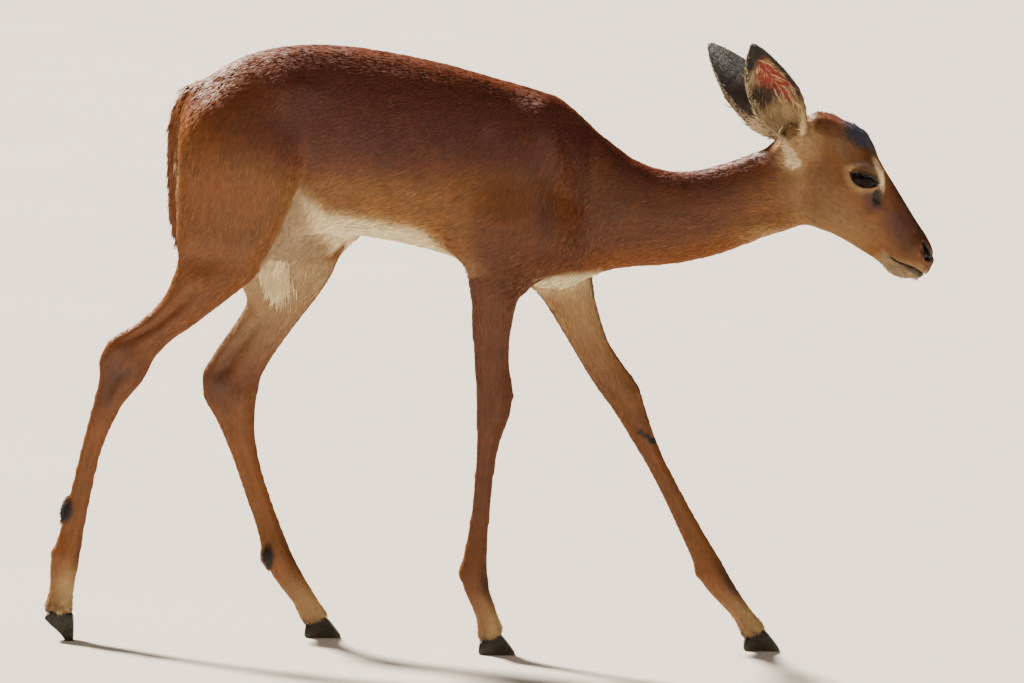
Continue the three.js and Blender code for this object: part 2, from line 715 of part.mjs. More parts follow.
add("trunk", trunk, finish.coat);
add("neck", neckSolid(), finish.coat);
add("head", head, finish.coat);
for (const [name, hand] of Object.entries(eyes)) add(name, eyeSolid(hand, 0), finish.eye);
for (const [name, spec] of Object.entries(EARS)) {
  add(name, earSolid(spec).subtract(headGrown).subtract(neckGrown), finish.coat);
}

const FLOOR = halfSpace([0, 0, 0], [0, 0, 1]);
for (const [name, foot] of Object.entries(FEET)) {
  const out = Math.sign(foot.at[1]);
  for (const [which, hand] of [["inner", -out], ["outer", out]]) {
    add(`hoof_${name}_${which}`, placed(clawSolid(hand), foot).intersect(FLOOR), finish.horn);
  }
  add(`leg_${name}`, legSolid(name).intersect(placed(overCoronet(), foot)), finish.coat);
}
add("tail", tailSolid(), finish.pale);

// The origin is on the ground under the middle of the whole.
const middle = new THREE.Box3().setFromObject(impala).getCenter(vec(0, 0, 0));
for (const mesh of impala.children) mesh.geometry.translate(-middle.x, -middle.y, 0);

export default impala;
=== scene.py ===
"""A young hornless impala, walking, at life size: skin, coat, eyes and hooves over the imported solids."""

import math

import bmesh
import bpy
import numpy as np
from bpy.props import FloatProperty, FloatVectorProperty, IntProperty, PointerProperty
from mathutils import Matrix, Vector
from mathutils.bvhtree import BVHTree


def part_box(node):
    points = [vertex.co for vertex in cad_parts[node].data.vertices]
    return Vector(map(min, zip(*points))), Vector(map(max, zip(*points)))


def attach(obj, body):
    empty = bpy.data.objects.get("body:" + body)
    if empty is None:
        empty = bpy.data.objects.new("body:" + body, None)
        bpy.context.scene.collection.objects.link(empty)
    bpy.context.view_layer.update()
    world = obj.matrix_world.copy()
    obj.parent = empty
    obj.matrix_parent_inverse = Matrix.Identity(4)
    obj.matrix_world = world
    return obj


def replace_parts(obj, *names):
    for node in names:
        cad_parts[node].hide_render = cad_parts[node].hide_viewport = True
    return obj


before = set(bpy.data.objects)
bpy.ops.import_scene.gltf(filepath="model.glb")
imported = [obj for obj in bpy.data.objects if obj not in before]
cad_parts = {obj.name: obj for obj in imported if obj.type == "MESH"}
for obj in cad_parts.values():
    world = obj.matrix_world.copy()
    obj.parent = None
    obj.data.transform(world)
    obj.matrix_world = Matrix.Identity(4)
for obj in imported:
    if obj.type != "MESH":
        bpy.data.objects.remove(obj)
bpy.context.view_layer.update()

bl_info = {
    "name": "Young impala",
    "version": (1, 0, 0),
    "blender": (4, 5, 0),
    "location": "View3D > Sidebar > Impala",
    "description": "Builds the skin, coat, eyes and hooves of a young impala over its packed solids",
    "category": "Object",
}

# ---------------------------------------------------------------- places, in drawn millimetres
MM = 1000.0  # to a metre
# The part is drawn round a middle of its own; this is where the frame's origin lies in those millimetres.
DRAWN = np.array((6.24, -0.08, 0.0))
REGIONS = (
    "trunk", "neck", "head", "ear_right", "ear_left", "tail",
    "leg_hind_right", "leg_hind_left", "leg_fore_right", "leg_fore_left",
)
TRUNK, NECK, HEAD, EAR_R, EAR_L, TAIL, HIND_R, HIND_L, FORE_R, FORE_L = range(10)
TORSO, EAR_PAIR = (TRUNK, NECK), (EAR_R, EAR_L)
HIND_LEGS, FORE_LEGS = (HIND_R, HIND_L), (FORE_R, FORE_L)
CLAWS = tuple(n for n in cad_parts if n.startswith("hoof_"))

# The head's own line runs down the face, from the back of the skull to the nose.
PITCH = math.radians(42)  # the face looks down by this much
SKULL = np.array((372.0, 0.0, 577.0))  # centre of the skull's back
ALONG = np.array((math.cos(PITCH), 0.0, -math.sin(PITCH)))
UP = np.array((math.sin(PITCH), 0.0, math.cos(PITCH)))
# Places on the side of the face, along that line and above it.
EYE_AT = (49.0, 41.0, 25.5)  # and out from the middle
EYE_BALL = 18.5  # half the ball's width
LIPS = ((134, -5), (147, -3), (158, 2), (168, 6), (182, 8))
NOSTRIL = ((154, 34), (162, 31), (170, 26))  # from its narrow upper end to its round front
FACE_TOP = ((-18, 70), (8, 82), (26, 80), (50, 69), (76, 62), (106, 54), (134, 46), (174, 30))
BROW_STRIPE = ((38, 68), (50, 64), (63, 56), (77, 45))
TEAR_SPOT = ((74, 38), (80, 31))
CHEEKBONE = ((34, 16), (66, 22), (98, 28))
NOSE_SIDE = ((62, 56), (100, 46), (138, 36))
LID_LEAN = math.radians(18)  # from the head's line to the line through the corners of the eye
LID_HALF = 18.5  # half the way between the corners
LID_TOP, LID_LOW = 5.6, 9.0  # rise of the upper lid over that line and drop of the lower
# Each ear's root and tip, the way that it opens, how far its blade bows forwards and how dark its back is,
# with painted shade making the left ear's back darker.
EARS = {
    EAR_R: {
        "root": (357, -33, 620), "tip": (299, -82, 731), "open": (-0.32, -1, -0.2),
        "drift": 7.0, "dark": 0.35,
    },
    EAR_L: {
        "root": (355, 33, 615), "tip": (252, 72, 719), "open": (-0.3, 1, -0.3),
        "drift": 5.5, "dark": 1.0,
    },
}
# Planes, as a place and a direction: where fine skin meets coarse, and the cut between neck and head.
SEAM = (np.array((285.0, 0.0, 530.0)), np.array((0.902, 0.0, 0.431)))
THROAT = (np.array((358.0, 0.0, 562.0)), np.array((0.967, 0.0, 0.256)))
# Edges of the markings as seen from the side: (x, height).
SADDLE_EDGE = (
    (-380, 655), (-343, 640), (-318, 616), (-268, 593), (-231, 582), (-145, 577), (-52, 580),
    (39, 590), (119, 596), (165, 562), (215, 553), (265, 563), (315, 583), (350, 600),
)
BELLY_EDGE = (
    (-262, 560), (-220, 544), (-212, 537), (-188, 518), (-137, 511), (-74, 501), (-55, 478),
    (-34, 459), (0, 450), (50, 447), (112, 450), (135, 440),
)
NECK_LOW = ((95, 430), (128, 448), (165, 456), (215, 463), (265, 476), (315, 497), (350, 512))
NAPE_LOCK = ((343, 618), (350, 604), (355, 590))  # the white lock below the ear
GROIN_EDGE = ((-224, 548), (-210, 520), (-199, 494))
# How fawn the coat is: by x on the body, by height on the legs.
BODY_FAWN = (
    (-300, 0.38), (-215, 0.9), (-10, 0.8), (50, 0.35), (95, 0.15), (140, 0.1), (240, 0.2), (350, 0.6),
)
LEG_FAWN = ((180, 0.47), (350, 0.12), (400, 0.25), (450, 0.38))
# Black spots on the legs: x, height, half width, half height and leg.
GLANDS = ((-490, 160, 10, 15, HIND_R), (-253, 99, 5.5, 14, HIND_L))
KNEE_MARKS = ((198, 250, 5.5, 4.5, FORE_L), (191, 255, 5, 3.5, FORE_L), (184, 260, 4.5, 3.5, FORE_L))
# Hollows of the hocks with painted shade along them: which leg, the line that they follow, how dark and how
# wide.
CREASES = (
    (HIND_R, ((-440, 312), (-428, 318), (-418, 324)), 0.5, 6.5),
    (HIND_R, ((-438, 304), (-443, 282)), 0.3, 4.5),
    (HIND_L, ((-303, 322), (-296, 306), (-290, 292)), 0.22, 3.0),
)
# Heights of the leg joints and of the painted shade above the hocks, and how much higher the hair ends on the
# foot that stands on its toes.
HOCK = {HIND_R: 345, HIND_L: 298}
HOCK_SHADE = {HIND_R: 322, HIND_L: 300}
FETLOCK = {HIND_R: 104, HIND_L: 98, FORE_R: 96, FORE_L: 92}
TOE_RISE = {HIND_R: 22, HIND_L: 0, FORE_R: 0, FORE_L: 0}
# Lines of the body's form, as (x, height); the thigh's front edge is by side, -1 for the right.
THIGH_FRONT = {
    -1: ((-266, 458), (-251, 484), (-239, 514), (-228, 544), (-221, 573)),
    1: ((-170, 458), (-166, 484), (-168, 514), (-176, 544), (-190, 573)),
}
BLADE_RIDGE = ((58, 655), (74, 610), (92, 560))
ARM_BACK = ((-4, 610), (-22, 560), (-27, 505), (-30, 462))
SHOULDER_FRONT = ((126, 605), (122, 550), (104, 480))
NECK_GROOVE = ((150, 502), (240, 508), (335, 536))


def to_frame(p):
    """Drawn millimetres as the frame's metres."""
    return (p - DRAWN) / MM


def to_drawn(co):
    """The frame's metres as drawn millimetres."""
    return np.asarray(co, float) * MM + DRAWN


def smooth(value, low, high):
    """0 below low, 1 above high and an even ramp between."""
    t = np.clip((value - low) / (high - low), 0.0, 1.0)
    return t * t * (3 - 2 * t)


def bell(value, centre, half):
    """1 at the centre, fading to either side over about half."""
    return np.exp(-(((value - centre) / half) ** 2))


def unit(v):
    return v / np.maximum(np.linalg.norm(v, axis=-1, keepdims=True), 1e-9)


def line_at(points, x):
    """Height of a broken line over x."""
    xs, zs = np.array(points, float).T
    return np.interp(x, xs, zs)


def past(plane, p):
    """Distance beyond a plane, given as a place on it and its direction."""
    return (p - plane[0]) @ plane[1]


def side_of(y):
    """-1 on the animal's right, 1 on its left."""
    return np.where(y < 0, -1.0, 1.0)


def waver(p, size, seed):
    """A smooth wandering value, about -1 to 1, whose swells are size mm across."""
    rng = np.random.default_rng(seed)
    waves = unit(rng.normal(size=(7, 3))) * (2 * math.pi / size) * rng.uniform(0.6, 1.5, (7, 1))
    return np.sin(p @ waves.T + rng.uniform(0, 6.3, 7)).mean(axis=1) * 1.9


def drawn_out(p, way, share):
    """Places pressed together along a direction, so that what wavers over them runs that way in strands."""
    return p - way * ((p * way).sum(axis=1) * share)[:, None]


def in_head(p):
    """Places as distance along the head, height above its line and distance out."""
    q = p - SKULL
    return q @ ALONG, q @ UP, np.abs(p[:, 1])


def head_point(s, h, y):
    return SKULL + ALONG * s + UP * h + np.array((0.0, y, 0.0))


def on_face_side(p):
    """1 on the sides of the face, 0 on its front."""
    return smooth(np.abs(p[:, 1]), 18, 26)


def share_of_head(p):
    """How far places have gone from neck (0) to head (1), for what shades over the throat."""
    return smooth(past(THROAT, p), -34, 22)


def near_line(s, h, points):
    """Distance of places on one side of the body to a broken line, and how far along it they are."""
    best = np.full(len(s), 1e9)
    part = np.zeros(len(s))
    pts = np.array(points, float)
    for i in range(len(pts) - 1):
        a, b = pts[i], pts[i + 1]
        d = b - a
        t = np.clip(((s - a[0]) * d[0] + (h - a[1]) * d[1]) / (d @ d), 0, 1)
        gap = np.hypot(s - a[0] - t * d[0], h - a[1] - t * d[1])
        closer = gap < best
        best = np.where(closer, gap, best)
        part = np.where(closer, (i + t) / (len(pts) - 1), part)
    return best, part


def above_lips(s, h):
    """Height above the line of the mouth."""
    return h - line_at(LIPS, s)


def in_ear(p, which):
    """Share of the way from root to tip, place across (-1 rear edge, 1 front), and the ear's directions."""
    e = EARS[which]
    root, tip = np.array(e["root"], float), np.array(e["tip"], float)
    long = np.linalg.norm(tip - root)
    axis = (tip - root) / long
    facing = np.array(e["open"], float)
    facing = unit(facing - axis * (facing @ axis))
    front = np.cross(facing, axis)
    front = front if front[0] > 0 else -front
    q = p - root
    t = (q @ axis) / long
    half = np.interp(t, (0, 0.1, 0.22, 0.42, 0.6, 0.78, 0.92, 1), (14, 18, 25, 29.5, 26.5, 18.5, 10, 4))
    swell = e["drift"] * np.sin(math.pi * np.clip(t, 0, 1))
    return t, (q @ front + swell) / half, axis, facing, front


def in_hollow(n, facing):
    """1 where an ear's surface looks the way that the ear opens, 0 on its back."""
    return smooth(n @ facing, -0.1, 0.3)


def on_eye(p):
    """Places round the nearer eye: along its opening, above it, and distance from the ball's centre."""
    s, h, out = in_head(p)
    ds, dh = s - EYE_AT[0], h - EYE_AT[1]
    u = ds * math.cos(LID_LEAN) + dh * math.sin(LID_LEAN)
    v = -ds * math.sin(LID_LEAN) + dh * math.cos(LID_LEAN)
    return u, v, np.sqrt(ds**2 + dh**2 + (out - EYE_AT[2]) ** 2)


def lid_gap(u, v):
    """Distance outside the line of the lids, negative on the open eye."""
    t = np.clip(u / LID_HALF, -1.6, 1.6)
    skew = np.clip(1 - t * t, 0, 1)
    top = LID_TOP * np.clip(1 - np.abs(t - 0.22 * skew) ** 2.8, -1.5, 1) - v
    low = LID_LOW * np.clip(1 - np.abs(t + 0.14 * skew) ** 2.2, -1.5, 1) + v
    return np.maximum(-np.minimum(top, low), np.abs(u) - LID_HALF)


def points_of(mesh):
    """A mesh's places in drawn millimetres."""
    co = np.empty(len(mesh.vertices) * 3, np.float32)
    mesh.vertices.foreach_get("co", co)
    return to_drawn(co.reshape(-1, 3))


def leg_line(name):
    """Heights up one leg with its back edge, front edge and distance out, read from its solid."""
    co = points_of(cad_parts[name].data)
    found = []
    for z in np.unique(np.round(co[:, 2])):
        row = co[np.abs(co[:, 2] - z) < 1.5]
        if np.ptp(row[:, 0]) > 12:
            found.append((z, row[:, 0].min(), row[:, 0].max(), row[:, 1].mean()))
    return np.array(found).T


LEG_LINES = {r: leg_line(REGIONS[r]) for r in HIND_LEGS + FORE_LEGS}


def across_leg(x, z, line):
    """Place between a leg's back edge (0) and its front edge (1)."""
    zs, back, front, _ = line
    low, high = np.interp(z, zs, back), np.interp(z, zs, front)
    return (x - low) / (high - low)


def ahead_of_thigh(x, y, z):
    """Distance in front of the thigh on the same side."""
    lines = {side: np.array(line, float).T for side, line in THIGH_FRONT.items()}
    right, left = (x - np.interp(z, lines[side][1], lines[side][0]) for side in (-1, 1))
    return np.where(y < 0, right, left)


# ---------------------------------------------------------------- markings
MARKS = ("saddle", "flank", "white", "black", "rufous", "grey", "cream", "pink")


def markings(p, n, region):
    """How much of each marking lies at these places, shaded over the cut between neck and head."""
    share = share_of_head(p)
    both = np.isin(region, (NECK, HEAD)) & (share > 0) & (share < 1)
    marks = marks_on(p, n, region)
    if both.any():
        some, w = p[both], share[both][:, None]
        as_neck, as_head = (marks_on(some, n[both], np.full(len(some), r)) for r in (NECK, HEAD))
        marks[both] = as_neck * (1 - w) + as_head * w
    return marks


def marks_on(p, n, region):
    """How much of each marking lies at these places, one column for each name in MARKS."""
    m = {k: np.zeros(len(p)) for k in MARKS}
    body_markings(p, n, region, m)
    leg_markings(p, n, region, m)
    tail_markings(p, n, region, m)
    face_markings(p, region, m)
    eye_markings(p, region, m)
    mouth_markings(p, region, m)
    throat_markings(p, region, m)
    ear_markings(p, n, region, m)
    return np.stack([np.clip(m[k], 0, 1) for k in MARKS], axis=1)


def layer(m, ground):
    """A function that lays a marking over what m holds, on the ground unless told where."""

    def lay(name, amount, on=ground):
        m[name] = np.where(on, np.maximum(m[name], amount), m[name])

    return lay


def body_markings(p, n, region, m):
    """Saddle, flanks, shoulder, belly, groin and buttocks, with painted highlight on the saddle's top and the
    rump and painted shade in the groin.
    """
    x, y, z = p.T
    out = np.abs(y)
    wander = waver(p, size=55, seed=3)
    fine = waver(p, size=9, seed=4)
    torso = np.isin(region, TORSO)
    trunk = region == TRUNK

    edge = line_at(SADDLE_EDGE, x)
    saddle = smooth(z + 9 * wander + 3 * fine - edge, -40, 34)
    # painted highlight: the saddle is paler toward the rump and where the back faces up, as if lit from
    # behind and above
    saddle *= (1 - 0.55 * smooth(-x, 215, 320)) * (1 - 0.25 * smooth(n[:, 2], 0.55, 0.95))
    m["saddle"] = np.where(torso, saddle, 0)
    below = smooth(edge - z, -4, 36)
    arm = smooth(-z, -600, -470) * smooth(x, -62, 28) * smooth(-x, -150, -60)
    m["flank"] = np.where(torso, below * line_at(BODY_FAWN, x) * (1 - 0.85 * arm), 0)
    # shoulder and neck: darker, paler again under the neck
    fore_part = smooth(x, -70, 80) * smooth(z - line_at(NECK_LOW, x), 6, 50) * (0.72 + 0.2 * wander)
    fore_part *= smooth(-x, -338, -258)
    thigh = 0.08 * smooth(-z, -560, -470) * smooth(-x, 120, 180)
    m["rufous"] = np.where(torso, np.maximum.reduce((arm * 0.68, fore_part, thigh)), 0)

    # belly: white below its edge, between the legs and ahead of the thigh
    ahead = ahead_of_thigh(x, y, z)
    below_line = line_at(BELLY_EDGE, x) - z + 2.2 * fine
    belly = smooth(below_line, -6, 9) * smooth(ahead, -3, 3)
    arm_from, arm_to = np.where(y < 0, -45, -20), np.where(y < 0, 48, 130)
    by_arm = smooth(x, arm_from, arm_from + 15) * smooth(-x, -arm_to, 12 - arm_to)
    belly *= 1 - by_arm * smooth(out, 24, 32)
    under = smooth(-n[:, 2], 0.35, 0.7) * smooth(-z, -520, -490) * smooth(-out, -38, -28)
    under *= 1 - smooth(x, 60, 90) * smooth(z, 448, 462)
    # painted shade in the fold of the groin and on the inner thighs between the legs: greyish cream in place
    # of white, with a pale edge before the fold
    fold = smooth(-x - 0.35 * (z - 500), 190, 206)
    fold_edge = bell(near_line(x, z, GROIN_EDGE)[0], 0, 7)
    inner = smooth(-out, -46, -34) * smooth(-x, 180, 205) * smooth(-z, -575, -545)
    groin = np.maximum(belly * fold, inner)
    pale = np.maximum(belly, under)
    soft_edge = 0.4 * smooth(below_line, -18, 2) * smooth(ahead, -3, 3) * (1 - arm) * smooth(-x, -40, 0)
    m["white"] = np.where(trunk, pale * (1 - 0.82 * fold) + 0.35 * fold_edge * belly, 0)
    m["cream"] = np.where(trunk, np.maximum(0.6 * groin, soft_edge), 0)
    m["grey"] = np.where(trunk, 0.3 * groin * (1 - fold_edge), 0)

    # buttocks: pale behind, with an upright black stripe on each
    behind = np.where(torso & (x < -300), smooth(-n[:, 0], 0.8, 0.96) * smooth(-z, -640, -610), 0)
    lay = layer(m, torso)
    lay("white", 0.8 * behind * smooth(-out, -15, -10))
    lay("black", 0.9 * behind * bell(out, 21, 4.0) * smooth(z, 500, 530))


def leg_markings(p, n, region, m):
    """Rufous on the outer face and front, pale within, paler to the foot, the black spots, and painted shade
    in the hollows of the hocks.
    """
    x, y, z = p.T
    inward = smooth(-n[:, 1] * side_of(y), 0.15, 0.65)
    fine = waver(p, size=9, seed=4)
    fawn = line_at(LEG_FAWN, z)
    hind = {
        "white": inward * smooth(z, 395, 455) * 0.2,
        "cream": inward * smooth(z, 300, 430) * 0.6,
        "grey": inward * smooth(z, 250, 330) * 0.14,
        "rufous": (1 - 0.8 * inward) * (0.08 + 0.34 * bell(z, 330, 60)),
        "flank": fawn,
    }
    fore = {
        "white": inward * smooth(z, 405, 455) * 0.55,
        "cream": inward * smooth(z, 250, 450) * 0.5,
        "rufous": (1 - 0.7 * inward) * smooth(z, 30, 260) * 0.7,
        "flank": fawn * (0.5 + 0.5 * inward),
    }
    for legs, amounts in ((HIND_LEGS, hind), (FORE_LEGS, fore)):
        for name, amount in amounts.items():
            m[name] = np.where(np.isin(region, legs), amount, m[name])
    for r, line in LEG_LINES.items():
        lay = layer(m, region == r)
        part = across_leg(x, z, line)
        foot = TOE_RISE[r]
        pastern = smooth(-z, -86 - foot, -34 - foot) * (0.3 + 0.45 * smooth(part, 0.2, 0.75))
        lay("cream", pastern)
        lay("black", 0.55 * smooth(-z, -30 - foot, -22 - foot) * smooth(fine, -0.6, 0.3))
        if r in FORE_LEGS:
            m["rufous"] = np.where(region == r, m["rufous"] * (1 - pastern), m["rufous"])
            lay("black", 0.7 * bell(part, 0.86, 0.16) * bell(z, 84, 24))
        else:
            # painted shade in the hollow above the hock
            lay("black", 0.42 * bell(part, 0.3, 0.2) * bell(z, HOCK_SHADE[r], 34))
            lay("black", 0.4 * bell(part, 0.92, 0.12) * bell(z, 104, 20))
    for mark_x, mark_z, half_x, half_z, r in GLANDS + KNEE_MARKS:
        spot = smooth(bell(x, mark_x, half_x) * bell(z, mark_z, half_z), 0.25, 0.6)
        spot = spot * smooth(inward, 0.05, 0.4) if r == FORE_L else spot
        layer(m, region == r)("black", spot)
    # painted shade along the creases of the hocks
    for r, line, amount, half in CREASES:
        layer(m, region == r)("black", amount * bell(near_line(x, z, line)[0], 0, half))


def tail_markings(p, n, region, m):
    """Pale, with a dark stripe down its back."""
    tail = region == TAIL
    out = np.abs(p[:, 1])
    m["white"] = np.where(tail, 0.9 * smooth(n[:, 0], 0.6, 0.9), m["white"])
    m["saddle"] = np.where(tail, 0.55 * smooth(-out, -6, -2) * smooth(-n[:, 0], 0.2, 0.7), m["saddle"])
    m["flank"] = np.where(tail, 0.1, m["flank"])


def face_markings(p, region, m):
    """Ground, dark bridge of the nose, and the glossy cap between the ears, with painted highlight on its
    bluish grey strands.
    """
    s, h, out = in_head(p)
    fine = waver(p, size=7, seed=5)
    from_top = h - line_at(FACE_TOP, s)
    lay = layer(m, region == HEAD)
    lay("flank", 0.55 + 0.3 * smooth(-h, -40, 6))
    lay("cream", 0.2 * smooth(-h, -26, 18) * smooth(-s, -130, -90))
    lay("grey", 0.09 * smooth(-s, -100, -70) * smooth(-h, -50, -20))
    bridge = smooth(from_top, -24, -4) * smooth(s, 58, 92)
    lay("rufous", bridge * 0.95)
    band = bell(s, 122, 40) * smooth(from_top + 3 * fine, -50, -20)
    lay("rufous", 0.95 * band)
    lay("black", 0.3 * band * smooth(s, 88, 108) * smooth(-s, -162, -140) * smooth(h, 4, 20))
    lay("black", 0.62 * bridge * smooth(-out, -15, -4) * smooth(s, 66, 82) * smooth(-s, -166, -146))
    lay("rufous", 0.75 * smooth(-s, -62, -40) * smooth(from_top, -24, -6))
    # painted highlight: bluish grey strands run through the dark cap between blacker strands
    strand = waver(drawn_out(p, unit(ALONG * 0.8 - UP * 0.6), 0.75), size=3.0, seed=8)
    cap = smooth(-np.hypot((s - 15) / 25, out / 30) + 0.1 * strand, -1.25, -0.8)
    cap *= smooth(h + 2.5 * strand, 50, 70)
    lay("grey", cap)
    lay("black", 0.35 * cap * smooth(strand, -0.2, 0.8))
    temple = bell(s, 4, 24) * smooth(h, 28, 50) * smooth(-h, -84, -66)
    lay("grey", temple * (0.24 + 0.12 * strand))
    lay("cream", 0.22 * temple)
    lay("pink", 0.2 * bell(s, -14, 12) * smooth(h, 54, 66))


def eye_markings(p, region, m):
    """Bare dark rim, pale ring, painted shade over the upper lid, the white stripe before the eye and the
    dark spot below its corner.
    """
    s, h, out = in_head(p)
    u, v, _ = on_eye(p)
    fine = waver(p, size=7, seed=5)
    rim = lid_gap(u, v)
    near = on_face_side(p)
    lay = layer(m, region == HEAD)
    lay("cream", 0.26 * near * bell(rim, 5.5, 4.6) * smooth(-v, -4, 5))
    lay("cream", 0.3 * near * smooth(-rim, -15, -5))
    # painted shade under the brow, over the upper lid
    over_lid = smooth(v, 5, 11) * smooth(-u, -15, -2) * smooth(u, -26, -16)
    lay("grey", 0.55 * near * bell(rim, 9.5, 4.5) * over_lid)
    between = smooth(-np.abs(u), -21.5, -16)  # corners of the eye
    lay("black", 0.75 * near * bell(rim, 2.2, 1.9) * smooth(v, 1, 5) * between)
    gap, part = near_line(s, h, BROW_STRIPE)
    stripe = smooth(-gap - 1.1 * fine, -5.4, -0.6) * smooth(part, 0.0, 0.3) * smooth(-part, -1.1, -0.85)
    lay("white", 0.85 * near * stripe)
    tear = near_line(s, h, TEAR_SPOT)[0]
    lay("black", smooth(out, 14, 20) * smooth(-tear - 1.6 * fine, -7.8, -3.4))
    lay("rufous", 0.95 * smooth(-tear, -22, -7) * smooth(out, 12, 18))
    lay("black", near * smooth(-rim, -2.2, -0.8) * smooth(-np.abs(u), -20.5, -17.5))


def mouth_markings(p, region, m):
    """Pale chin, dark lips and nostrils."""
    s, h, out = in_head(p)
    fine = waver(p, size=7, seed=5)
    lay = layer(m, region == HEAD)
    mouth, along = near_line(s, h, LIPS)
    above = above_lips(s, h)
    chin = smooth(s, 120, 140) * smooth(-above, -3, 1)
    lay("cream", 0.8 * chin)
    lay("grey", chin * (0.28 + 0.25 * smooth(fine, -0.3, 0.6)))
    lay("cream", 0.3 * smooth(s, 132, 156) * smooth(-above, -10, -4))
    lay("black", smooth(-mouth, -1.7, -0.7) * smooth(along, 0.02, 0.1))
    lay("black", 0.8 * smooth(s, 150, 164) * smooth(-above, 0.2, 1.6) * smooth(above, -7, -4.5))
    nose, part = near_line(s, h, NOSTRIL)
    lay("black", smooth(1.6 + 3.0 * part - nose, -1.6, 0.6) * smooth(out, 5, 8))
    lay("black", 0.85 * smooth(s, 166, 172) * smooth(h, 10, 16) * smooth(-out, -9, -5))


def throat_markings(p, region, m):
    """Pale throat, the white lock below the ear and the pale root of the ear."""
    s, h, out = in_head(p)
    x, z = p[:, 0], p[:, 2]
    fine = waver(p, size=7, seed=5)
    lay = layer(m, region == HEAD)
    both = np.isin(region, (HEAD, NECK))
    lay("cream", 0.3 * smooth(-h, 16, 34) * smooth(-s, -96, -60))
    gap, part = near_line(x, z, NAPE_LOCK)
    lay("white", 0.9 * smooth(1 + 6 * part - gap + 2.5 * fine, -3, 3) * smooth(out, 12, 20), both)
    lay("cream", 0.5 * smooth(-gap, -22, -8) * smooth(out, 12, 20), both)
    lay("cream", 0.36 * smooth(-np.hypot((x - 346) / 50, (z - 503) / 14), -1.4, -0.3), both)
    root = smooth(-np.hypot((x - 366) / 26, (z - 618) / 26), -1.4, -0.3) * smooth(out, 18, 28)
    lay("cream", 0.5 * root)
    lay("grey", 0.12 * root)


def ear_markings(p, n, region, m):
    """Pink hollows with pale hair, their red partly a painted glow of light through the ear, dark tips and
    edges, and dark backs, the left one darker with painted shade.
    """
    fine = waver(p, size=6, seed=6)
    for which, ear in EARS.items():
        t, c, axis, facing, front = in_ear(p, which)
        inside = in_hollow(n, facing)
        t2 = t + 0.02 * fine
        tip = smooth(t2 + 0.10 * c * c - 0.06 * c, 0.70, 0.86)
        edge = smooth(c, 0.72, 0.88) * smooth(t2, 0.28, 0.4)
        low = smooth(-np.hypot((t2 - 0.37 + 0.05 * c) / 0.13, (c + 1.0) / 1.0), -1.25, -0.5)
        strand = waver(drawn_out(p, unit(axis * 0.8 - front * 0.6), 0.8), size=5.5, seed=9)
        middle = -np.hypot((t2 - 0.5 + 0.06 * c) / 0.30, (c - 0.12) / 0.86)
        # the pink of the hollow is bare skin, and partly a painted glow of the light shining through the ear
        pink = smooth(middle + 0.22 * strand, -1.1, -0.6)
        rear = smooth(-c, 0.1, 0.6)
        marks_in = {
            "black": np.maximum.reduce((tip, edge, 0.82 * low, 0.5 * pink * smooth(strand, 0.1, 0.9))),
            "rufous": low,
            "pink": pink,
            "cream": np.maximum(smooth(-t2, -0.42, -0.28), 0.6 * rear) * (1 - pink) * (1 - low),
            "grey": 0.3 * rear * (1 - pink),
            "white": 0.3 * smooth(-t2, -0.3, -0.12),
        }
        # painted shade: dark is 1 on the left ear, so its back is laid much blacker and greyer than the
        # right's
        dark = ear["dark"]
        back = smooth(t2 + 0.05 * c, 0.86 - dark * 0.42, 0.94 - dark * 0.3)
        marks_out = {
            "black": np.maximum(back, 0.8 * dark * smooth(-c, -0.3, 0.4)),
            "grey": 0.5 * dark * smooth(t2, 0.1, 0.4),
            "flank": 0.7 * smooth(c, -0.6, 0.2),
            "white": 0.9 * smooth(-c, -0.1, 0.5) * smooth(-t2, -0.34, -0.18),
        }
        for k in MARKS:
            here = inside * marks_in.get(k, 0) + (1 - inside) * marks_out.get(k, 0)
            m[k] = np.where(region == which, here, m[k])


# ---------------------------------------------------------------- lie and length of the coat
# The side of the trunk and neck, combed: a place (x, height) and the way that the hair lies there.
COMB = (
    ((-340, 640), (-0.5, -0.85)), ((-300, 690), (-0.95, -0.3)), ((-200, 708), (-1, -0.05)),
    ((-60, 690), (-1, -0.02)), ((60, 655), (-1, 0.1)), ((-310, 590), (-0.35, -0.95)),
    ((-260, 640), (-0.75, -0.65)), ((-270, 540), (-0.2, -1)), ((-180, 640), (-0.95, -0.3)),
    ((-180, 580), (-0.9, -0.45)), ((-90, 640), (-0.97, -0.25)), ((-90, 570), (-0.92, -0.4)),
    ((-120, 520), (-0.95, -0.3)), ((-20, 620), (-0.9, -0.4)), ((-20, 540), (-0.85, -0.5)),
    ((40, 600), (-0.6, -0.8)), ((40, 530), (-0.25, -0.97)), ((90, 580), (-0.75, -0.65)),
    ((100, 500), (-0.5, -0.85)), ((100, 450), (-0.6, -0.5)), ((140, 590), (-0.95, -0.1)),
    ((150, 520), (-0.9, -0.4)), ((200, 565), (-1, 0)), ((200, 490), (-0.95, -0.25)),
    ((260, 575), (-0.97, -0.2)), ((260, 500), (-0.93, -0.35)), ((320, 595), (-0.9, -0.4)),
    ((320, 520), (-0.9, -0.4)), ((-240, 500), (-0.3, -0.95)), ((-40, 475), (-0.95, -0.2)),
    ((30, 450), (-0.95, -0.1)),
)
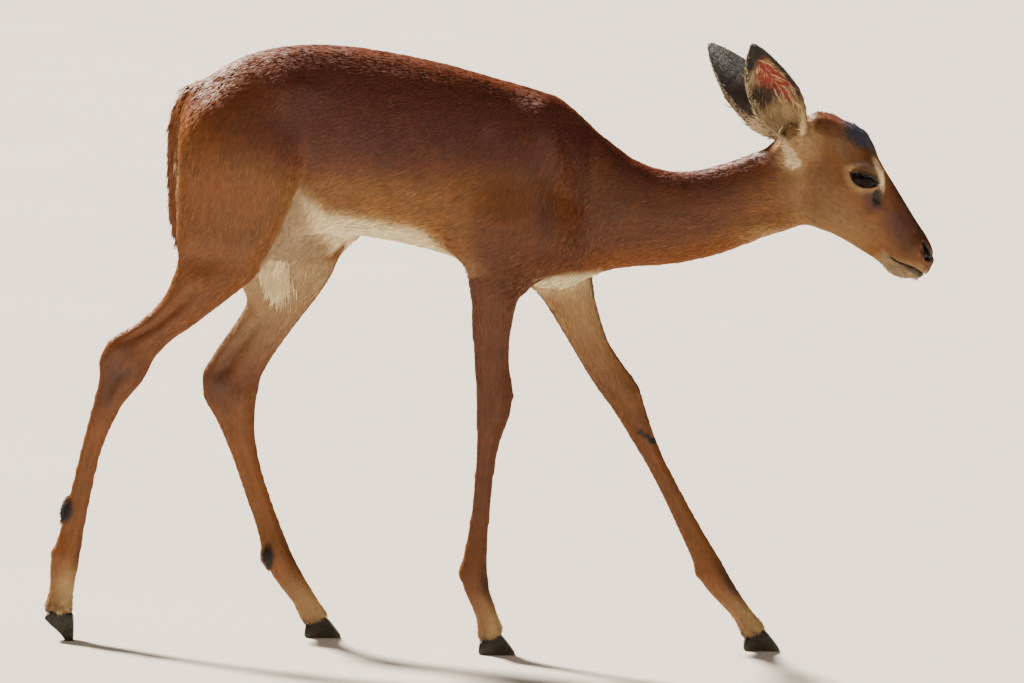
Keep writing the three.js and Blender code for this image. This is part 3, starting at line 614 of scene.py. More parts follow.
# The side of the head, combed, as places and directions along and above its line.
FACE_COMB = (
    ((165, 35), (-1, 0.25)), ((165, 10), (-1, 0)), ((130, 42), (-1, 0.1)), ((130, 15), (-1, -0.1)),
    ((130, -12), (-1, -0.1)), ((95, 52), (-1, 0.15)), ((95, 20), (-1, -0.2)), ((95, -18), (-1, -0.2)),
    ((60, 62), (-1, 0.3)), ((70, 18), (-1, -0.3)), ((50, 10), (-1, -0.35)), ((25, 70), (-1, 0.1)),
    ((30, 45), (-1, 0.1)), ((20, 10), (-1, -0.35)), ((40, -25), (-1, -0.1)), ((0, 70), (-1, -0.3)),
    ((-10, 40), (-1, -0.6)), ((-10, 5), (-1, -0.5)), ((0, -35), (-1, -0.2)),
)
BODY_OUT, FACE_OUT = 55, 22  # how far out from the middle those guides lie
GUIDE_BLUR = 15.0  # how far one guide shades into the next
BATCH = 20000  # places worked on at once


def combed():
    """Every guide place with the direction of the hair there."""
    places, ways = [], []
    for side in (-1, 1):
        for (x, z), (dx, dz) in COMB:
            places.append((x, side * BODY_OUT, z))
            ways.append((dx, 0, dz))
        for (s, h), (ds, dh) in FACE_COMB:
            places.append(head_point(s, h, side * FACE_OUT))
            ways.append(ALONG * ds + UP * dh)
    for zs, back, front, out in LEG_LINES.values():
        levels = np.arange(20, 440, 35)
        mid = np.stack([np.interp(levels, zs, (back + front) / 2), np.interp(levels, zs, out), levels], 1)
        down = unit(mid - np.vstack([mid[1:], mid[-1:] + (mid[-1] - mid[-2])]))
        places += list(mid)
        ways += list(down)
    return np.array(places, float), unit(np.array(ways, float))


def lie_of(p, n, region):
    """The direction of the hair, along the surface."""
    places, ways = combed()
    flow = np.empty_like(p)
    for start in range(0, len(p), BATCH):
        part = slice(start, start + BATCH)
        d2 = ((p[part, None, :] - places[None]) ** 2).sum(axis=2)
        weight = 1.0 / (d2 + GUIDE_BLUR**2) ** 2
        flow[part] = weight @ ways / weight.sum(axis=1, keepdims=True)
    flow[region == TAIL] = (-0.15, 0, -1)
    for which in EARS:
        _, c, axis, facing, front = in_ear(p, which)
        mine = region == which
        inside = in_hollow(n, facing)[:, None]
        spread = axis + front * (np.clip(c, -1, 1) * 0.35)[:, None]
        across = axis * 0.8 - front * (np.clip(c, -1, 1) * 0.8)[:, None]
        flow[mine] = ((1 - inside) * spread + inside * across)[mine]
    # the hair parts round the eye
    s, h, _ = in_head(p)
    by_eye = (0.7 * by_lids(p, region, 9, 1))[:, None]
    outwards = unit(ALONG * (s - EYE_AT[0])[:, None] + UP * (h - EYE_AT[1])[:, None])
    flow = flow * (1 - by_eye) + outwards * by_eye
    flow -= n * (flow * n).sum(axis=1, keepdims=True)
    return unit(flow)


def by_lids(p, region, far, close):
    """0 beyond far mm from the lids' line, 1 within close mm of it."""
    u, v, _ = on_eye(p)
    return (region == HEAD) * smooth(-lid_gap(u, v), -far, -close) * on_face_side(p)


def hair_length(p, n, region, coat):
    """Length of the hair's tufts in millimetres."""
    x, _, z = p.T
    s, _, _ = in_head(p)
    body, face = coat.body_hair, coat.face_hair
    neck = body * 0.85
    on_neck = neck + (body - neck) * smooth(-x, -170, -110)
    on_face = np.interp(s, (-20, 30, 70, 110, 160), (1.0, 0.85, 0.72, 0.55, 0.36)) * face
    share = share_of_head(p)
    length = np.select(
        [region == NECK, region == HEAD, np.isin(region, EAR_PAIR), region == TAIL, region >= HIND_R],
        [
            on_neck * (1 - share) + on_face * share,
            neck * (1 - share) + on_face * share,
            face * 0.8,
            body * 1.3,
            np.interp(z, (20, 60, 200, 450), (0.42, 0.5, 0.6, 1.0)) * body,
        ],
        body * (1 + 0.25 * smooth(-n[:, 2], 0.3, 0.9)),
    )
    return length * (1 - 0.55 * by_lids(p, region, 8, 1))


EAR_DEPTH = 0.35  # an ear is too thin to be sunk by more
DEPTH_SHARE = 0.26  # of the hair's length


def coat_depth(p, n, region, coat):
    """How far the skin lies inside the solids, in millimetres."""
    depth = np.where(np.isin(region, EAR_PAIR), EAR_DEPTH, DEPTH_SHARE * hair_length(p, n, region, coat))
    return depth * (1 - by_lids(p, region, 12, 0))


# ---------------------------------------------------------------- the skin
def flesh_copy(names, grow):
    """One mesh of the named solids, merged and swelled by grow mm, so that the cuts between them close."""
    whole = bmesh.new()
    for name in names:
        part = bmesh.new()
        part.from_mesh(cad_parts[name].data)
        bmesh.ops.remove_doubles(part, verts=part.verts, dist=1e-5)
        part.normal_update()
        for v in part.verts:
            v.co += v.normal * grow / MM
        add_to(whole, part)
    return whole


def add_to(whole, part):
    """Moves one mesh's faces into another."""
    held = bpy.data.meshes.new("held")
    part.to_mesh(held)
    part.free()
    whole.from_mesh(held)
    bpy.data.meshes.remove(held)


def remeshed(bm, voxel):
    """The union of a mesh's closed bodies as even quads, voxel mm across."""
    mesh = bpy.data.meshes.new("held")
    bm.to_mesh(mesh)
    bm.free()
    obj = bpy.data.objects.new("held", mesh)
    bpy.context.collection.objects.link(obj)
    modifier = obj.modifiers.new("voxels", "REMESH")
    modifier.mode = "VOXEL"
    modifier.voxel_size = voxel / MM
    evaluated = obj.evaluated_get(bpy.context.evaluated_depsgraph_get())
    made = bmesh.new()
    made.from_mesh(evaluated.to_mesh())
    bpy.data.objects.remove(obj)
    bpy.data.meshes.remove(mesh)
    return made


def keep_side(bm, far, gap):
    """Cuts a mesh at the seam on the neck and keeps the head's side (far) or the body's."""
    point, normal = SEAM
    place = Vector(to_frame(point + normal * (gap if far else -gap)))
    bmesh.ops.bisect_plane(
        bm, geom=bm.verts[:] + bm.edges[:] + bm.faces[:], dist=1e-6, plane_co=place, plane_no=Vector(normal),
        clear_inner=far, clear_outer=not far,
    )


def neighbours(bm):
    """The pairs of places that edges join, and how many edges meet at each place."""
    edges = np.array([(e.verts[0].index, e.verts[1].index) for e in bm.edges])
    count = np.bincount(edges.ravel(), minlength=len(bm.verts)).astype(float)
    return edges, count


def mean_round(values, edges, count):
    """The mean of each place's neighbours."""
    a, b = edges.T
    if values.ndim > 1:
        return np.stack([mean_round(column, edges, count) for column in values.T], axis=1)
    return (np.bincount(a, values[b], len(values)) + np.bincount(b, values[a], len(values))) / count


def relax(p, edges, count, rounds, weight, shrink=0.5, swell=-0.53):
    """Evens a surface out without shrinking it: each round draws places to their neighbours and back."""
    for _ in range(rounds):
        for amount in (shrink, swell):
            p = p + (mean_round(p, edges, count) - p) * (amount * weight)[:, None]
    return p


SETTLE = 0.6  # share of the way to the neighbours' mean that one round goes


def settled(p, edges, count, bm, rounds, spread, weight):
    """Rounds off facets, then gives back the girth that this takes, itself evened out."""
    flat = p.copy()
    for _ in range(rounds):
        flat = flat + (mean_round(flat, edges, count) - flat) * (SETTLE * weight)[:, None]
    n = normals_at(bm, flat)
    lost = ((p - flat) * n).sum(axis=1)
    for _ in range(spread):
        lost = lost + (mean_round(lost, edges, count) - lost) * SETTLE
    return flat + n * lost[:, None]


def normals_at(bm, p):
    """Moves a mesh's corners to p and gives the directions that they face."""
    for v, co in zip(bm.verts, to_frame(p)):
        v.co = co
    bm.normal_update()
    return np.array([v.normal for v in bm.verts])


REACH = 0.02  # metres within which a place looks for its solid
BOX_MARGIN = 0.012  # metres that a solid's box is widened by


def nearest_region(p):
    """Which solid each place belongs to, as an index in REGIONS."""
    found = np.zeros(len(p), int)
    best = np.full(len(p), 1e9)
    metres = to_frame(p)
    for i, name in enumerate(REGIONS):
        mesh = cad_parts[name].data
        tree = BVHTree.FromPolygons([v.co for v in mesh.vertices], [tuple(f.vertices) for f in mesh.polygons])
        low, high = np.array(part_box(name)) + np.array((-BOX_MARGIN, BOX_MARGIN))[:, None]
        inside = np.nonzero(((metres >= low) & (metres <= high)).all(axis=1))[0]
        for j in inside:
            gap = tree.find_nearest(metres[j], REACH)[3]
            if gap is not None and gap < best[j]:
                best[j] = gap
                found[j] = i
    return found


def body_relief(p, n, region):
    """Height of the trunk's and neck's muscle, bone and folds over the smooth form, in millimetres."""
    x, y, z = p.T
    lateral = smooth(np.abs(n[:, 1]), 0.35, 0.75)
    torso = np.isin(region, TORSO) * lateral
    upper = ~np.isin(region, (HEAD, EAR_R, EAR_L))
    rise = np.zeros(len(p))
    for side, line in THIGH_FRONT.items():
        xs, zs = np.array(line, float).T
        ahead = x - np.interp(z, zs, xs)
        fade = smooth(z, 448, 476) * smooth(-z, -620, -535) * (y * side > 20) * upper * lateral
        rise += fade * (2.5 * bell(ahead, -15, 15) - 9.5 * bell(ahead, 6, 8.0) - 1.8 * bell(ahead, -52, 20))
    blade = 2.4 * smooth(-z, -648, -615)
    for line, height, half in (
        (BLADE_RIDGE, blade, 10), (ARM_BACK, -2.6, 10), (SHOULDER_FRONT, -3.2, 11), (NECK_GROOVE, -2.4, 11),
    ):
        rise += torso * height * bell(near_line(x, z, line)[0], 0, half)
    rise -= torso * 1.4 * bell(x, -205, 26) * bell(z, 640, 26)
    rib_window = smooth(x, -165, -135) * smooth(-x, 15, 45) * bell(z, 580, 52)
    rise += torso * 0.4 * rib_window * np.sin((x + 0.3 * z) * 2 * math.pi / 20)
    return rise


def leg_relief(p, n, region):
    """Height of the legs' bones, sinews and joints, in millimetres."""
    x, _, z = p.T
    behind = smooth(-n[:, 0], 0.3, 0.8)
    rise = np.zeros(len(p))
    for r, line in LEG_LINES.items():
        mine = (region == r) * smooth(np.abs(n[:, 1]), 0.3, 0.7)
        part = across_leg(x, z, line)
        rise -= mine * 2.9 * bell(part, 0.42, 0.12) * smooth(z, 112, 140) * smooth(-z, -270, -235)
        rise += (region == r) * 2.4 * bell(z, FETLOCK[r], 8) * behind
        rise += mine * 1.0 * bell(part, 0.6, 0.22) * bell(z, FETLOCK[r], 11)
        if r in HOCK:
            up = z - HOCK[r]
            rise -= mine * 6.0 * bell(part, 0.33, 0.13) * smooth(up, 6, 26) * smooth(-up, -95, -55)
            rise -= mine * 3.8 * bell(part, 0.36, 0.11) * smooth(up, -62, -40) * smooth(-up, -6, 14)
            rise += mine * 2.2 * bell(part, 0.68, 0.16) * bell(up, -8, 12)
        else:
            rise += mine * 2.0 * bell(part, 0.66, 0.2) * bell(z, 304, 14)
            rise -= mine * 3.0 * bell(part, 0.34, 0.11) * bell(z, 300, 26)
            rise -= mine * 2.6 * bell(part, 0.55, 0.12) * smooth(z, 345, 375) * smooth(-z, -445, -420)
        rise -= mine * 1.3 * bell(part, 0.5, 0.2) * bell(z, 64, 9)
    for r, line, amount, half in CREASES:
        rise -= (region == r) * 4.0 * amount * bell(near_line(x, z, line)[0], 0, half + 2)
    for mark_x, mark_z, half_x, half_z, r in GLANDS:
        mound = 3.0 * bell(x, mark_x, half_x) * bell(z, mark_z, half_z * 0.8)
        rise += (region == r) * mound * smooth(-n[:, 0], -0.2, 0.5)
    return rise


def nostril_gap(s, h):
    """Distance outside the edge of the nostril, negative inside, as the skin is worked."""
    nose, part = near_line(s, h, NOSTRIL)
    return nose - (1.4 + 3.2 * part)


def face_relief(p, n, region):
    """Height of the folds, hollows, lips and nostrils of the face, in millimetres."""
    s, h, out = in_head(p)
    side = smooth(np.abs(n[:, 1]), 0.25, 0.6)
    u, v, _ = on_eye(p)
    rim = lid_gap(u, v)
    rise = 1.6 * bell(s, 40, 16) * bell(h, 64, 7) * bell(out, 26, 10)
    rise -= side * 2.8 * bell(s, 76, 6) * bell(h, 35, 4.5)
    rise += side * 1.3 * bell(near_line(s, h, CHEEKBONE)[0], 0, 6)
    rise -= side * 1.4 * bell(s, 96, 14) * bell(h, 14, 8)
    rise -= side * 1.0 * bell(near_line(s, h, NOSE_SIDE)[0], 0, 5)
    fold = smooth(v, 5, 10) * smooth(-np.abs(u), -20, -12)
    rise += fold * (0.5 * bell(rim, 12, 2.4) - 0.9 * bell(rim, 9, 2.2))
    mouth, along = near_line(s, h, LIPS)
    open_lip = smooth(along, 0.0, 0.12)
    rise -= 2.4 * open_lip * smooth(-mouth, -2.0, -0.2)
    rise += 0.8 * open_lip * bell(mouth, 3.6, 1.8)
    edge = nostril_gap(s, h)
    at_side = smooth(out, 5.0, 7.5)
    rise -= 6.5 * at_side * smooth(-edge, -0.9, 1.6)
    rise += 0.9 * at_side * bell(edge, 2.0, 1.3)
    return rise * (region == HEAD)


LID_OVER = 1.9  # of the lids over the ball


def lidded(p, region):
    """Places near the eyes drawn over the balls as lids, with the opening sunk behind them."""
    u, v, r = on_eye(p)
    out = np.abs(p[:, 1])
    rim = lid_gap(u, v)
    lid = EYE_BALL + LID_OVER + 0.5 * bell(rim, 1.5, 1.3) - 0.4 * bell(rim, 7.5, 2)
    lid = lid - 4.4 * smooth(-rim, -0.5, 1.1)
    weight = (1 - smooth(rim, 3.5, 14)) * smooth(out, EYE_AT[2] - 3, EYE_AT[2] + 2) * (region == HEAD)
    reach = r * (1 - weight) + lid * weight
    hidden = (rim > 1.0) & (weight > 0) & (r < EYE_BALL + 8)
    reach = np.where(hidden, np.maximum(reach, EYE_BALL + 1.5), reach)
    centre = head_point(EYE_AT[0], EYE_AT[1], 0) + side_of(p[:, 1])[:, None] * (0.0, EYE_AT[2], 0.0)
    moved = centre + unit(p - centre) * reach[:, None]
    return np.where((weight > 0)[:, None], moved, p)


# Charts of the skin's own shape: left, bottom, width and height on the map, and the lengths they hold.
CHARTS = (
    (0.01, 0.50, 0.56, 0.48, -390, 140),  # trunk
    (0.59, 0.76, 0.24, 0.22, -20, 290),  # neck
    (0.59, 0.50, 0.26, 0.24, -70, 190),  # head
    (0.70, 0.01, 0.07, 0.16, -0.3, 1.1),  # back of the right ear
    (0.79, 0.01, 0.07, 0.16, -0.3, 1.1),  # back of the left ear
    (0.70, 0.19, 0.07, 0.26, 440, 690),  # tail
    (0.01, 0.01, 0.16, 0.47, 0, 600),  # right hind leg
    (0.18, 0.01, 0.16, 0.47, 0, 600),  # left hind leg
    (0.35, 0.01, 0.16, 0.47, 0, 600),  # right foreleg
    (0.52, 0.01, 0.16, 0.47, 0, 600),  # left foreleg
    (0.79, 0.19, 0.07, 0.16, -0.3, 1.1),  # hollow of the right ear
    (0.88, 0.01, 0.07, 0.16, -0.3, 1.1),  # hollow of the left ear
)
HOLLOWS = {EAR_R: 10, EAR_L: 11}
# The neck's axis, for its chart: where it starts, along it and above it.
NECK_FROM = np.array((128.0, 0, 520.0))
NECK_ALONG, NECK_UP = np.array((0.991, 0, 0.134)), np.array((-0.134, 0, 0.991))


def chart_place(p, n, region):
    """Where places lie on the unrolled skin: round the part (-1 to 1), along it, and on which chart."""
    x, y, z = p.T
    side = side_of(y)
    s, h, _ = in_head(p)
    q = p - NECK_FROM
    chart = region.copy()
    around = np.arctan2(y, z - np.interp(x, (-345, 0, 140), (590, 566, 532)))
    along = x.copy()
    rows = [
        (NECK, np.arctan2(y, q @ NECK_UP), q @ NECK_ALONG),
        (HEAD, np.arctan2(y, h - 18), s),
        (TAIL, np.arctan2(y, -370 - x), z),
    ]
    for r, (zs, back, front, mid) in LEG_LINES.items():
        middle = np.interp(z, zs, (back + front) / 2)
        rows.append((r, np.arctan2(x - middle, (y - np.interp(z, zs, mid)) * side), z))
    for r, turn, reach in rows:
        around = np.where(region == r, turn, around)
        along = np.where(region == r, reach, along)
    around = around / math.pi
    for which, inner in HOLLOWS.items():
        t, c, _, facing, _ = in_ear(p, which)
        mine = region == which
        around = np.where(mine, np.clip(c, -1.4, 1.4) * 0.7, around)
        along = np.where(mine, t, along)
        chart = np.where(mine & (n @ facing > 0), inner, chart)
    return around, along, chart


def on_chart(around, along, chart):
    """Places on the map, a little in from the chart's sides."""
    left, low, wide, high, first, last = np.array(CHARTS)[chart].T
    u = left + wide * (0.04 + 0.92 * (around + 1) / 2)
    v = low + high * np.clip((along - first) / (last - first), 0, 1)
    return np.stack([u, v], 1)


def hide_map(mesh, p, n, region):
    """Lays the skin's own unwrap in its OFBake map."""
    corner = np.empty(len(mesh.loops), np.int32)
    starts = np.empty(len(mesh.polygons), np.int32)
    totals = np.empty(len(mesh.polygons), np.int32)
    mesh.loops.foreach_get("vertex_index", corner)
    mesh.polygons.foreach_get("loop_start", starts)
    mesh.polygons.foreach_get("loop_total", totals)
    lead = np.repeat(corner[starts], totals)
    around, along, chart = chart_place(p[corner], n[lead], region[lead])
    # no face spans a chart's join: each corner is brought to its first corner's side
    first = np.repeat(around[starts], totals)
    near = first + (around - first + 1) % 2 - 1
    around = np.where(np.isin(region[lead], EAR_PAIR), around, near)
    layer = mesh.uv_layers.new(name="OFBake")
    layer.uv.foreach_set("vector", on_chart(around, along, chart).astype(np.float32).ravel())


def put_attribute(mesh, name, kind, values):
    attribute = mesh.attributes.new(name, kind, "POINT")
    key = {"FLOAT_COLOR": "color", "FLOAT_VECTOR": "vector", "FLOAT": "value"}[kind]
    attribute.data.foreach_set(key, values.astype(np.float32).ravel())


def put_marks(mesh, marks):
    """The markings as two colour attributes, four to each."""
    put_attribute(mesh, "marks_a", "FLOAT_COLOR", marks[:, :4])
    put_attribute(mesh, "marks_b", "FLOAT_COLOR", marks[:, 4:8])


# ---------------------------------------------------------------- tufts
HIDE = {}  # the finished skin: places, normals, regions, lie and triangles


def hide_areas():
    """The area of each of the skin's triangles."""
    a, b, c = (HIDE["p"][HIDE["tris"][:, i]] for i in range(3))
    return np.linalg.norm(np.cross(b - a, c - a), axis=1) / 2


def pick_roots(weight, count, rng):
    """Places spread evenly over the skin, thicker where weight is more: triangles and shares of corners."""
    tris = HIDE["tris"]
    share = np.cumsum(hide_areas() * weight[tris].mean(axis=1))
    marks = (np.arange(count) + rng.uniform(0, 1, count)) / count * share[-1]
    picked = np.minimum(np.searchsorted(share, marks), len(tris) - 1)
    a = np.sqrt(rng.uniform(0, 1, count))
    b = rng.uniform(0, 1, count)
    corners = np.stack([1 - a, a * (1 - b), a * b], 1)
    return tris[picked], corners


def coverage(weight, length, width):
    """How many tufts lay as many layers of hair as weight says."""
    density = weight / (0.5 * length * width)
    return density, (hide_areas() * density[HIDE["tris"]].mean(axis=1)).sum()


# The way that streaks of tone run on each part, and how much they are drawn out; the streaks are painted
# light and shade of the coat's ridges.
GRAIN = unit(np.array(
    ((0.9, 0, 0.42), (0.97, 0, 0.24), ALONG, (-0.4, -0.3, 0.87), (-0.7, 0.3, 0.7), (0.2, 0, 1.0),
     (0.5, 0, 0.87), (0.4, 0, 0.9), (0, 0, 1.0), (-0.4, 0, 0.9)), float,
))
GRAIN_DRAW = 0.7
LOCK_FACES = np.array(((0, 3, 2), (1, 2, 3), (0, 2, 1), (0, 1, 3)))
LOCK_SPLAY = (0.24, 0.24, 0.18)  # how far a tuft's normals lean at its two sides and its tip
RIDGE_AT = 0.42  # share of the length at which a tuft is highest
PATCH = 0.003  # of a tuft on the map
PATCH_CORNERS = np.array(((-0.5, -0.5), (0.5, -0.5), (-0.5, 0.5), (0.5, 0.5))) * PATCH


def tufts(weight, count, seed, length, width, lift, spread=8.0, sink=0.3, lie=None, tone=None):
    """Closed locks of hair rooted on the skin: two corners at the root, a ridge and a tip to each.

    length, width and lift are values at the skin's places or one number; lift and spread are in degrees.
    """
    rng = np.random.default_rng(seed)
    tri, share = pick_roots(weight, count, rng)

    def at(values):
        """The skin's values at the roots."""
        values = np.asarray(values, float)
        if values.ndim == 0:
            return np.full(count, float(values))
        if values.ndim == 1:
            return (values[tri] * share).sum(axis=1)
        return (values[tri] * share[:, :, None]).sum(axis=1)

    root = at(HIDE["p"])
    n = unit(at(HIDE["n"]))
    region = HIDE["region"][tri[:, 0]]
    way = at(HIDE["lie"] if lie is None else lie)
    way = unit(way - n * (way * n).sum(axis=1, keepdims=True))
    side = np.cross(n, way)
    turn = np.radians(rng.normal(0, spread, count) + 7 * waver(root, size=38, seed=11))[:, None]
    way = way * np.cos(turn) + side * np.sin(turn)
    side = np.cross(n, way)
    rise = at(lift) * rng.uniform(0.55, 1.45, count) + 1.2 * waver(root, size=26, seed=12)
    rise = np.radians(rise)[:, None]
    long = (at(length) * rng.uniform(0.75, 1.2, count))[:, None]
    wide = (at(width) * rng.uniform(0.75, 1.25, count))[:, None]
    ahead = way * np.cos(rise) + n * np.sin(rise)
    low = root - n * sink
    bend = side * (rng.normal(0, 0.05, count)[:, None] * long)
    co = np.stack([
        low - side * wide / 2,
        low + side * wide / 2,
        root + ahead * long * RIDGE_AT + n * (0.26 * wide + 0.05 * long) + bend * 0.6,
        root + ahead * long - bend - n * (0.03 * long),
    ], 1)
    tilt = rng.normal(0, 0.05, (count, 3))
    left, right, end = LOCK_SPLAY
    normal = np.stack([n - side * left, n + side * right, n, n + way * end], 1) + tilt[:, None]
    marks = markings(root, n, region)
    if tone is not None:
        marks = tone(root, marks)
    # how far along the tuft, its tone and a number of its own
    lock = np.zeros((count, 4, 4))
    lock[:, :, 0] = (0.0, 0.0, 0.5, 1.0)
    # painted light and shade: streaks of tone along the lie stand in for the ridges of the coat, over each
    # tuft's own random tone
    streak = waver(drawn_out(root, GRAIN[region], GRAIN_DRAW), size=4.5, seed=14)
    lock[:, :, 1] = np.clip(rng.uniform(0.2, 0.8, count) + 0.34 * streak, 0, 1)[:, None]
    lock[:, :, 2] = rng.uniform(0, 1, count)[:, None]
    uv = on_chart(*chart_place(root, n, region))
    return {
        "co": co, "normal": unit(normal), "marks": marks, "lock": lock,
        "uv": uv, "region": region, "root": root,
    }


def joined(*parts):
    return {k: np.concatenate([part[k] for part in parts]) for k in parts[0]}


def chosen(t, keep):
    return {k: v[keep] for k, v in t.items()}


def coat_piece(name, t, material):
    """Joins tufts as one mesh with their markings, map and normals."""
    count = len(t["co"])
    co = to_frame(t["co"].reshape(-1, 3))
    faces = (LOCK_FACES[None] + np.arange(count)[:, None, None] * 4).reshape(-1, 3)
    mesh = bpy.data.meshes.new(name)
    mesh.vertices.add(len(co))
    mesh.vertices.foreach_set("co", co.astype(np.float32).ravel())
    mesh.loops.add(len(faces) * 3)
    mesh.loops.foreach_set("vertex_index", faces.astype(np.int32).ravel())
    mesh.polygons.add(len(faces))
    mesh.polygons.foreach_set("loop_start", np.arange(0, len(faces) * 3, 3, dtype=np.int32))
    mesh.polygons.foreach_set("use_smooth", np.ones(len(faces), bool))
    mesh.update(calc_edges=True)
    uv = (t["uv"][:, None] + PATCH_CORNERS[None]).reshape(-1, 2)
    layer = mesh.uv_layers.new(name="OFBake")
    layer.uv.foreach_set("vector", uv[faces.ravel()].astype(np.float32).ravel())
    put_marks(mesh, np.repeat(t["marks"], 4, axis=0))
    put_attribute(mesh, "lock", "FLOAT_COLOR", t["lock"].reshape(-1, 4))
    mesh.normals_split_custom_set_from_vertices(t["normal"].reshape(-1, 3))
    return placed(name, mesh, material)


def placed(name, mesh, material):
    """Shows a finished mesh as a piece of the animal."""
    obj = bpy.data.objects.new(name, mesh)
    bpy.context.collection.objects.link(obj)
    mesh.materials.append(material)
    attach(obj, "root")
    return obj


# ---------------------------------------------------------------- finishes
def srgb(code):
    """A hex colour as the linear values that Blender keeps."""
    parts = [int(code[i : i + 2], 16) / 255 for i in (1, 3, 5)]
    return tuple(c / 12.92 if c <= 0.04045 else ((c + 0.055) / 1.055) ** 2.4 for c in parts) + (1.0,)


def add(tree, kind, inputs=None, **settings):
    """Adds a node with its settings; an input is a value or the socket that drives it."""
    node = tree.nodes.new("ShaderNode" + kind)
    for key, value in settings.items():
        setattr(node, key, value)
    for key, value in (inputs or {}).items():
        if isinstance(value, bpy.types.NodeSocket):
            tree.links.new(value, node.inputs[key])
        else:
            node.inputs[key].default_value = value
    return node


def new_material(name):
    material = bpy.data.materials.new(name)
    material.use_nodes = True
    material.node_tree.nodes.clear()
    return material, material.node_tree


# The order in which the markings lie over the coat's ground colour, lowest first.
LAID = ("flank", "rufous", "saddle", "cream", "white", "grey", "pink", "black")


def marked_colour(tree, colours):
    """The coat's ground colour with each marking laid over it."""
    reads = {}
    for name, group in (("marks_a", MARKS[:4]), ("marks_b", MARKS[4:])):
        source = add(tree, "Attribute", attribute_name=name)
        split = add(tree, "SeparateColor", {0: source.outputs["Color"]})
        for i, mark in enumerate(group):
            reads[mark] = source.outputs["Alpha"] if i == 3 else split.outputs[i]
    ground = colours.haunch
    for mark in LAID:
        laid = add(tree, "Mix", {0: reads[mark], 6: ground, 7: getattr(colours, mark)}, data_type="RGBA")
        ground = laid.outputs[2]
    return ground


def coat_finish(name, colours, on_tufts):
    """Short deer hair, close and a little oily: a soft broad shine, and a paler bloom at a low angle."""
    material, tree = new_material(name)
    place = add(tree, "TexCoord").outputs["Object"]
    colour = marked_colour(tree, colours)
    lock = add(tree, "Attribute", attribute_name="lock")
    split = add(tree, "SeparateColor", {0: lock.outputs["Color"]})
    # tone wanders over hand's-breadth patches (70 mm) and from lock to lock (6 mm)
    patch = add(tree, "TexNoise", {"Vector": place, "Scale": 1 / 0.07, "Detail": 3.0, "Roughness": 0.55})
    grain = add(tree, "TexNoise", {"Vector": place, "Scale": 1 / 0.006, "Detail": 2.0, "Roughness": 0.6})
    # the mean of these tones adds up to about 1
    value = 0.57
    tones = [(patch.outputs["Fac"], 0.5), (grain.outputs["Fac"], 0.36)]
    if on_tufts:
        # each tuft has a tone of its own, with streaks of painted light and shade along the lie, and grows
        # paler to its tip
        value = 0.17
        tones += [(split.outputs[1], 0.5), (split.outputs[0], 0.3)]
    for source, share in tones:
        value = add(tree, "Math", {0: source, 1: share, 2: value}, operation="MULTIPLY_ADD").outputs[0]
    colour = add(tree, "HueSaturation", {"Value": value, "Color": colour}).outputs[0]
    shader = add(
        tree, "BsdfPrincipled",
        {"Base Color": colour, "Roughness": 0.54, "Specular IOR Level": 0.6, "Sheen Weight": 0.03,
         "Sheen Roughness": 0.3, "Sheen Tint": srgb("#ffd2ac")},
    )
    if not on_tufts:
        # the rims of the lids, the lips and the nostrils are bare and moist; the rest is fine fur (1.5 mm)
        bare = add(tree, "Math", {0: split.outputs[2], 1: -0.26, 2: 0.62}, operation="MULTIPLY_ADD")
        tree.links.new(bare.outputs[0], shader.inputs["Roughness"])
        fur = add(tree, "TexNoise", {"Vector": place, "Scale": 1 / 0.0015, "Detail": 3.0, "Roughness": 0.6})
        bump = add(tree, "Bump", {"Height": fur.outputs["Fac"], "Strength": 0.4, "Distance": 0.0006})
        tree.links.new(bump.outputs[0], shader.inputs["Normal"])
    add(tree, "OutputMaterial", {"Surface": shader.outputs[0]})
    return material


def horn_finish(colours):
    """Hoof horn, grown in rings and rubbed on dry ground: dark olive brown, satin, dusty low down."""
    material, tree = new_material("hoof horn")
    place = add(tree, "TexCoord").outputs["Object"]
    height = add(tree, "SeparateXYZ", {0: place}).outputs["Z"]
    # rings run level with the coronet, 2.4 mm apart
    depth = add(tree, "Attribute", attribute_name="depth").outputs["Fac"]
    along = add(tree, "CombineXYZ", {"Z": depth}).outputs[0]
    rings = add(
        tree, "TexWave", {"Vector": along, "Scale": 0.314 / 0.0024, "Distortion": 0.6, "Detail": 1.0},
        wave_type="BANDS", bands_direction="Z",
    )
    grain = add(
        tree, "TexNoise", {"Vector": place, "Scale": 1 / 0.006, "Detail": 4.0, "Roughness": 0.65},
    ).outputs["Fac"]
    stain = add(tree, "MapRange", {"Value": grain, "From Min": 0.5, "From Max": 0.66})
    top = add(tree, "MapRange", {"Value": depth, "From Max": 0.007, "To Min": 0.8, "To Max": 0.0})
    dust = add(tree, "MapRange", {"Value": height, "From Max": 0.011, "To Min": 0.42, "To Max": 0.0})
    worn = add(tree, "Math", {0: dust.outputs[0], 1: grain}, operation="MULTIPLY")
    tone = colours.horn
    for share, colour in ((stain, colours.horn_ring), (worn, colours.dust), (top, colours.black)):
        tone = add(tree, "Mix", {0: share.outputs[0], 6: tone, 7: colour}, data_type="RGBA").outputs[2]
    rough = add(tree, "Math", {0: grain, 1: 0.34, 2: 0.22}, operation="MULTIPLY_ADD").outputs[0]
    bump = add(tree, "Bump", {"Height": rings.outputs["Fac"], "Strength": 0.3, "Distance": 0.0003})
    shader = add(
        tree, "BsdfPrincipled",
        {"Base Color": tone, "Roughness": rough, "Specular IOR Level": 0.35, "Normal": bump.outputs[0]},
    )
    add(tree, "OutputMaterial", {"Surface": shader.outputs[0]})
    return material


